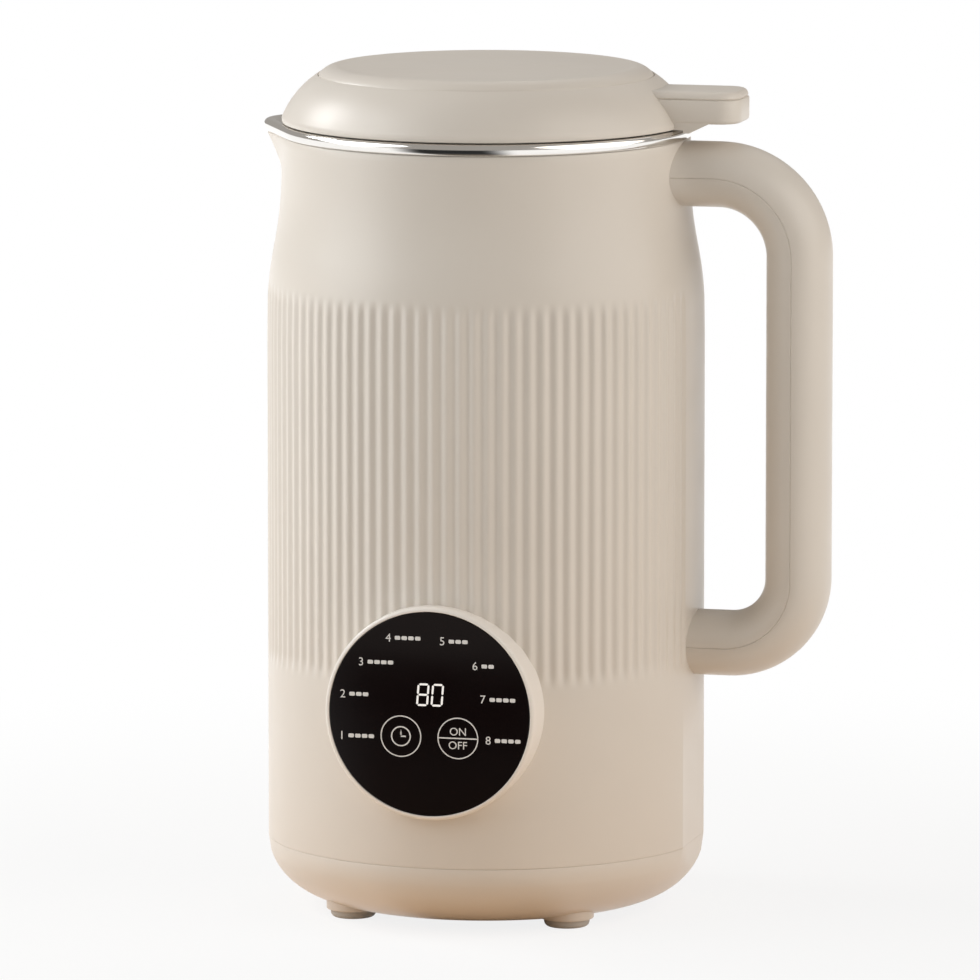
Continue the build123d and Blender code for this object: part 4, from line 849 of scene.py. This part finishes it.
def print_ring(name, x, z, radius, stroke, count):
    """Flat ring on the glass, as a closed loop of four corners carried round."""
    inner, outer = radius - stroke / 2, radius + stroke / 2
    profile = [(inner, print_back), (outer, print_back), (outer, print_front),
               (inner, print_front)]
    return skin(name, lying_grid(profile[::-1], full_turn(count), x, panel_height + z),
                rows_closed=True)


def print_text(name, words, x, z, height):
    """Plain figures or letters, made a mesh, scaled to the height and centred on x and z."""
    curve = bpy.data.curves.new(name, "FONT")
    curve.body = words
    curve.align_x = "CENTER"
    holder = bpy.data.objects.new(name, curve)
    bpy.context.scene.collection.objects.link(holder)
    mesh = bpy.data.meshes.new_from_object(
        holder.evaluated_get(bpy.context.evaluated_depsgraph_get()))
    bpy.data.objects.remove(holder)
    drawn = read_rows(mesh.vertices, "co")
    low, high = drawn.min(axis=0), drawn.max(axis=0)
    scale = height / (high[1] - low[1])
    x_drawn, z_drawn = ((drawn - (low + high) / 2) * scale)[:, :2].T
    points = np.stack([x_drawn + x, np.full(len(drawn), print_front),
                       z_drawn + z + panel_height], -1)
    mesh.vertices.foreach_set("co", set_in_frame(points).ravel())
    mesh.update()
    piece = bpy.data.objects.new(name, mesh)
    bpy.context.scene.collection.objects.link(piece)
    return piece


def bar_outline(x, z, width, height):
    """Small bar with corners cut at 45 degrees by a fifth of its height."""
    w, h, c = width / 2, height / 2, height / 5
    return np.array([(x - w + c, z - h), (x + w - c, z - h), (x + w, z - h + c),
                     (x + w, z + h - c), (x + w - c, z + h), (x - w + c, z + h),
                     (x - w, z + h - c), (x - w, z - h + c)])


label_bars = (4, 3, 4, 4, 3, 2, 4, 4)
label_places = ((-21.3, -6.9), (-21.0, 5.0), (-15.7, 14.3), (-7.8, 21.4), (7.8, 20.9),
                (17.3, 14.2), (19.6, 4.8), (21.1, -6.8))
number_shift = -4.1
number_height = 2.3
bar_shift = -1.4
bar_pitch = 1.95
bar_width, bar_height = 1.6, 1.1
print_parts = []
for number, (bars, (x, z)) in enumerate(zip(label_bars, label_places), 1):
    print_parts.append(print_text("label_number", str(number), x + number_shift, z,
                                  number_height))
    for step in range(bars):
        print_parts.append(plate_from_outline("label_bar", bar_outline(
            x + bar_shift + step * bar_pitch, z, bar_width, bar_height)))
ring_side = 8.25
ring_drop = -6.55
for name, x, radius, stroke, count in (("key_ring", -ring_side, 5.75, 0.32, 72),
                                       ("key_ring", ring_side, 5.75, 0.32, 72),
                                       ("clock_ring", -ring_side, 2.7, 0.36, 40)):
    print_parts.append(print_ring(name, x, ring_drop, radius, stroke, count))
for name, x, z, width, height in (("clock_hand", -ring_side, ring_drop + 0.9, 0.4, 1.8),
                                  ("clock_hand", -ring_side + 0.7, ring_drop, 1.5, 0.4),
                                  ("key_bar", ring_side, ring_drop, 11.1, 0.35)):
    print_parts.append(plate_from_outline(name, bar_outline(x, z, width, height)))
for word, rise in (("ON", 1.9), ("OFF", -2.0)):
    print_parts.append(print_text("key_word", word, ring_side, ring_drop + rise, 2.2))
panel_print = merged("panel_print", print_parts)
fit(panel_print, white_print, "body", ())

readout_level = 5.5
digit_height = 5.9
digit_width = 2.9
segment_stroke = 0.55
segment_gap = 0.25
lean = 0.08
lean_level = 5.3


def segment(x, z, length, upright):
    """Six-cornered bar of the readout; x grows by the lean times the height over its level."""
    a, s = length / 2, segment_stroke / 2
    outline = np.array([(-a, 0), (-a + s, -s), (a - s, -s), (a, 0), (a - s, s), (-a + s, s)])
    if upright:
        outline = outline[:, ::-1]
    outline = outline + (x, z)
    outline[:, 0] += (outline[:, 1] - lean_level) * lean
    return outline


half, quarter = digit_width / 2, digit_height / 4
segment_spots = {"a": (0, 2 * quarter, False), "g": (0, 0, False), "d": (0, -2 * quarter, False),
                 "f": (-half, quarter, True), "b": (half, quarter, True),
                 "e": (-half, -quarter, True), "c": (half, -quarter, True)}
readout_parts = []
for figure_x, letters in ((-1.9, "abcdefg"), (2.3, "abcdef")):
    for letter in letters:
        x, z, upright = segment_spots[letter]
        length = (digit_height / 2 if upright else digit_width) - segment_gap
        readout_parts.append(plate_from_outline("segment", segment(
            figure_x + x, readout_level + z, length, upright)))
readout = merged("readout_figures", readout_parts)
lit_print = moulded("lit_figures", (0.85, 0.84, 0.82), 0.5, grain=400.0)
lit_shader = lit_print.node_tree.nodes["Principled BSDF"]
lit_shader.inputs["Emission Color"].default_value = (1, 0.98, 0.95, 1)
lit_shader.inputs["Emission Strength"].default_value = 0.35
fit(readout, lit_print, "body", ())


# Handle. A hollow oval tube in two mouldings, an outer and an inner half that meet in a fine
# crease along the sides. Both ends are screwed to the shell from inside.
upper_arm = 212.4
lower_arm = 78.1
upper_bend = 23.0
lower_bend = 19.5
upper_root = 56.7
lower_root = 60.9
handle_reach = 91.5
handle_half_width = 12.0
handle_half_depth = 9.3
root_flare = 0.15
flare_length = 11.0
crease_width = 0.16
crease_gap = 0.02


def handle_line():
    """Middle line and outward normals: straight, quarter circle, straight, quarter circle,
    straight."""
    root = np.linspace(upper_root, 67.0, 7)
    top = arc_points((handle_reach - upper_bend, upper_arm - upper_bend), upper_bend, 90, 0, 28)
    grip = [(handle_reach, height) for height in (170.0, 145.0, 120.0)]
    low = arc_points((handle_reach - lower_bend, lower_arm + lower_bend), lower_bend, 0, -90, 28)
    line = np.concatenate([np.column_stack([root, np.full(len(root), upper_arm)]), top, grip, low,
                           [(66.0, lower_arm), (lower_root, lower_arm)]])
    angles = np.radians(np.concatenate([
        np.full(len(root), 90.0), np.linspace(90, 0, len(top)), np.zeros(len(grip)),
        np.linspace(0, -90, len(low)), (-90.0, -90.0)]))
    return line, np.stack([np.cos(angles), np.sin(angles)], 1)


def handle_skin(name, side):
    """Half oval carried along the handle's line: y is the half width times the cosine, and the
    offset along the normal is the half depth times the sine; the flat side closes it. The upper
    root's width grows by up to its flare with the square of its nearness to the shell."""
    line, normals = handle_line()
    sweep = np.radians(np.linspace(1.2, 178.8, 49))
    y = handle_half_width * np.cos(sweep)
    out = handle_half_depth * np.sin(sweep)
    y = np.concatenate([[handle_half_width - crease_width], y,
                        [-handle_half_width + crease_width]])
    out = np.concatenate([[crease_gap], out, [crease_gap]]) * side
    near = np.clip(1 - (line[:, 0] - upper_root) / flare_length, 0, 1)
    near = near * (line[:, 1] > (upper_arm + lower_arm) / 2)
    flare = 1 + root_flare * near ** 2
    grid = np.stack([line[:, 0][:, None] + normals[:, 0][:, None] * out,
                     flare[:, None] * y,
                     line[:, 1][:, None] + normals[:, 1][:, None] * out], -1)
    if side < 0:
        grid = grid[:, ::-1]
    return skin(name, grid, first_pole=True, last_pole=True, crease=30)


for piece_name, node, side in (("handle_outer_moulding", "handle_outer_half", 1),
                               ("handle_inner_moulding", "handle_inner_half", -1)):
    fit(handle_skin(piece_name, side), ivory, "body", [node])


# Lid. A domed ring moulding with a short skirt stands over the steel rim; a shallow round cap is
# set into its top, and a flat thumb tab in two layers reaches out over the handle. Under it hang
# the inner plate and its silicone ring.
lid_low = 225.7
lid_radius = 58.2
skirt_inside = 56.2
seam_radius = 47.8
seam_level = 239.3
ledge_radius = 43.8
ledge_under = seam_level - 2.6
cap_level = seam_level - 0.8


def bowed(start, end, bulge, count):
    """Arc from start to end, bowed out to the right by the bulge: points on the circle through
    both ends, whose radius is (half chord squared plus bulge squared) over twice the bulge."""
    start, end = np.array(start, float), np.array(end, float)
    chord = end - start
    half = np.linalg.norm(chord) / 2
    radius = (half ** 2 + bulge ** 2) / (2 * bulge)
    along = chord / (2 * half)
    right = np.array((along[1], -along[0]))
    centre = (start + end) / 2 - right * (radius - bulge)
    reach = math.asin(half / radius)
    angles = np.linspace(-reach, reach, count)[:, None]
    return centre + radius * (right * np.cos(angles) + along * np.sin(angles))


lid_profile = np.concatenate([
    [(skirt_inside, lid_low), (lid_radius - 0.5, lid_low), (lid_radius - 0.15, lid_low + 0.15),
     (lid_radius, lid_low + 0.5)],
    bowed((lid_radius, lid_low + 1.4), (seam_radius + 0.3, seam_level - 0.06), 1.2, 24),
    [(seam_radius + 0.1, seam_level - 0.14), (seam_radius, seam_level - 0.35),
     (seam_radius, cap_level), (ledge_radius, cap_level), (ledge_radius, ledge_under)],
    bowed((skirt_inside, lid_low + 1.4), (ledge_radius, ledge_under), 2.2, 12)[::-1]])
dome_profile = lid_profile[3:28]
lid_turns = full_turn(256)
lid_ring = skin("lid_dome", turned_grid(lid_profile, lid_turns), rows_closed=True)
cap_radius = 47.7
cap_inside = cap_radius - 5.5
crown_radius = 41.6
crown_level = cap_level + 3.2
crown_rise = 0.6
crown_shares = np.linspace(0.96, 0.04, 14)
cap_profile = np.concatenate([
    [(cap_inside, cap_level + 1.4), (cap_inside, cap_level)],
    [(cap_radius - 0.2, cap_level), (cap_radius + 0.04, cap_level + 0.3)],
    bowed((cap_radius, cap_level + 0.7), (crown_radius, crown_level), 0.9, 14),
    np.stack([crown_radius * crown_shares, crown_level + crown_rise * (1 - crown_shares ** 2)],
             1)])
cap = skin("lid_cap", turned_grid(cap_profile, lid_turns), first_pole=True, last_pole=True)
fit(cap, ivory, "lid", ["lid_top_cap"])

tab_half_width = 11.0
tab_corner = 6.5
tab_reach = 75.6
tab_split = 234.4
tab_low = 227.6
tab_round = 1.9
top_inset, top_sunk = 0.3, 1.0
slab_sunk = 0.1


def dome_radius(height):
    """The dome's outer radius at a height, read off its profile."""
    return np.interp(height, dome_profile[:, 1], dome_profile[:, 0])


def tab_outline(height, inset, sunk):
    """Outline seen from above: it follows the dome a little inside its skin, runs out along both
    sides and closes with two rounded corners."""
    half = tab_half_width - inset
    corner = tab_corner - inset
    y = np.linspace(half, -half, 15)
    x = np.sqrt((dome_radius(height) - sunk) ** 2 - y ** 2)
    right = arc_points((tab_reach - inset - corner, -half + corner), corner, -90, 0, 14)
    left = arc_points((tab_reach - inset - corner, half - corner), corner, 0, 90, 14)
    outline = np.concatenate([np.stack([x, y], 1), right, left])
    return np.column_stack([outline, np.full(len(outline), height)])


top_steps = [(0.03, 0.55), (0.25, 0.42)]
top_steps += [(0.4 + tab_round * math.sin(angle), top_inset + tab_round * (1 - math.cos(angle)))
              for angle in np.radians(np.linspace(0, 90, 10))]
top_rows = [tab_outline(tab_split + rise, inset, top_sunk) for rise, inset in top_steps]
tab_top = skin("tab_top", np.stack(top_rows), first_pole=True, last_pole=True, crease=40)
lid_shell = merged("lid_moulding", [lid_ring, tab_top])
fit(lid_shell, ivory, "lid", ["lid_shell"])
under_steps = ((0.0, 0.9), (0.15, 0.45), (0.55, 0.12), (1.0, 0.0), (3.0, 0.0), (6.3, 0.0),
               (6.65, 0.15), (6.8, 0.5))
under_rows = [tab_outline(tab_low + rise, inset, slab_sunk) for rise, inset in under_steps]
tab_slab = skin("tab_slab", np.stack(under_rows), first_pole=True, last_pole=True, crease=40)
gusset_half = 10.7
gusset_side = [(59.85, 224.9), (61.6, 224.9), (67.2, 227.62), (67.2, 228.6), (56.9, 228.6),
               (56.9, 225.75), (59.85, 225.75)]
gusset = prism("tab_gusset", gusset_side, (gusset_half, -gusset_half), 1)
tab_base = merged("tab_under", [tab_slab, gusset])
fit(tab_base, ivory, "lid", ["lid_tab_base"])
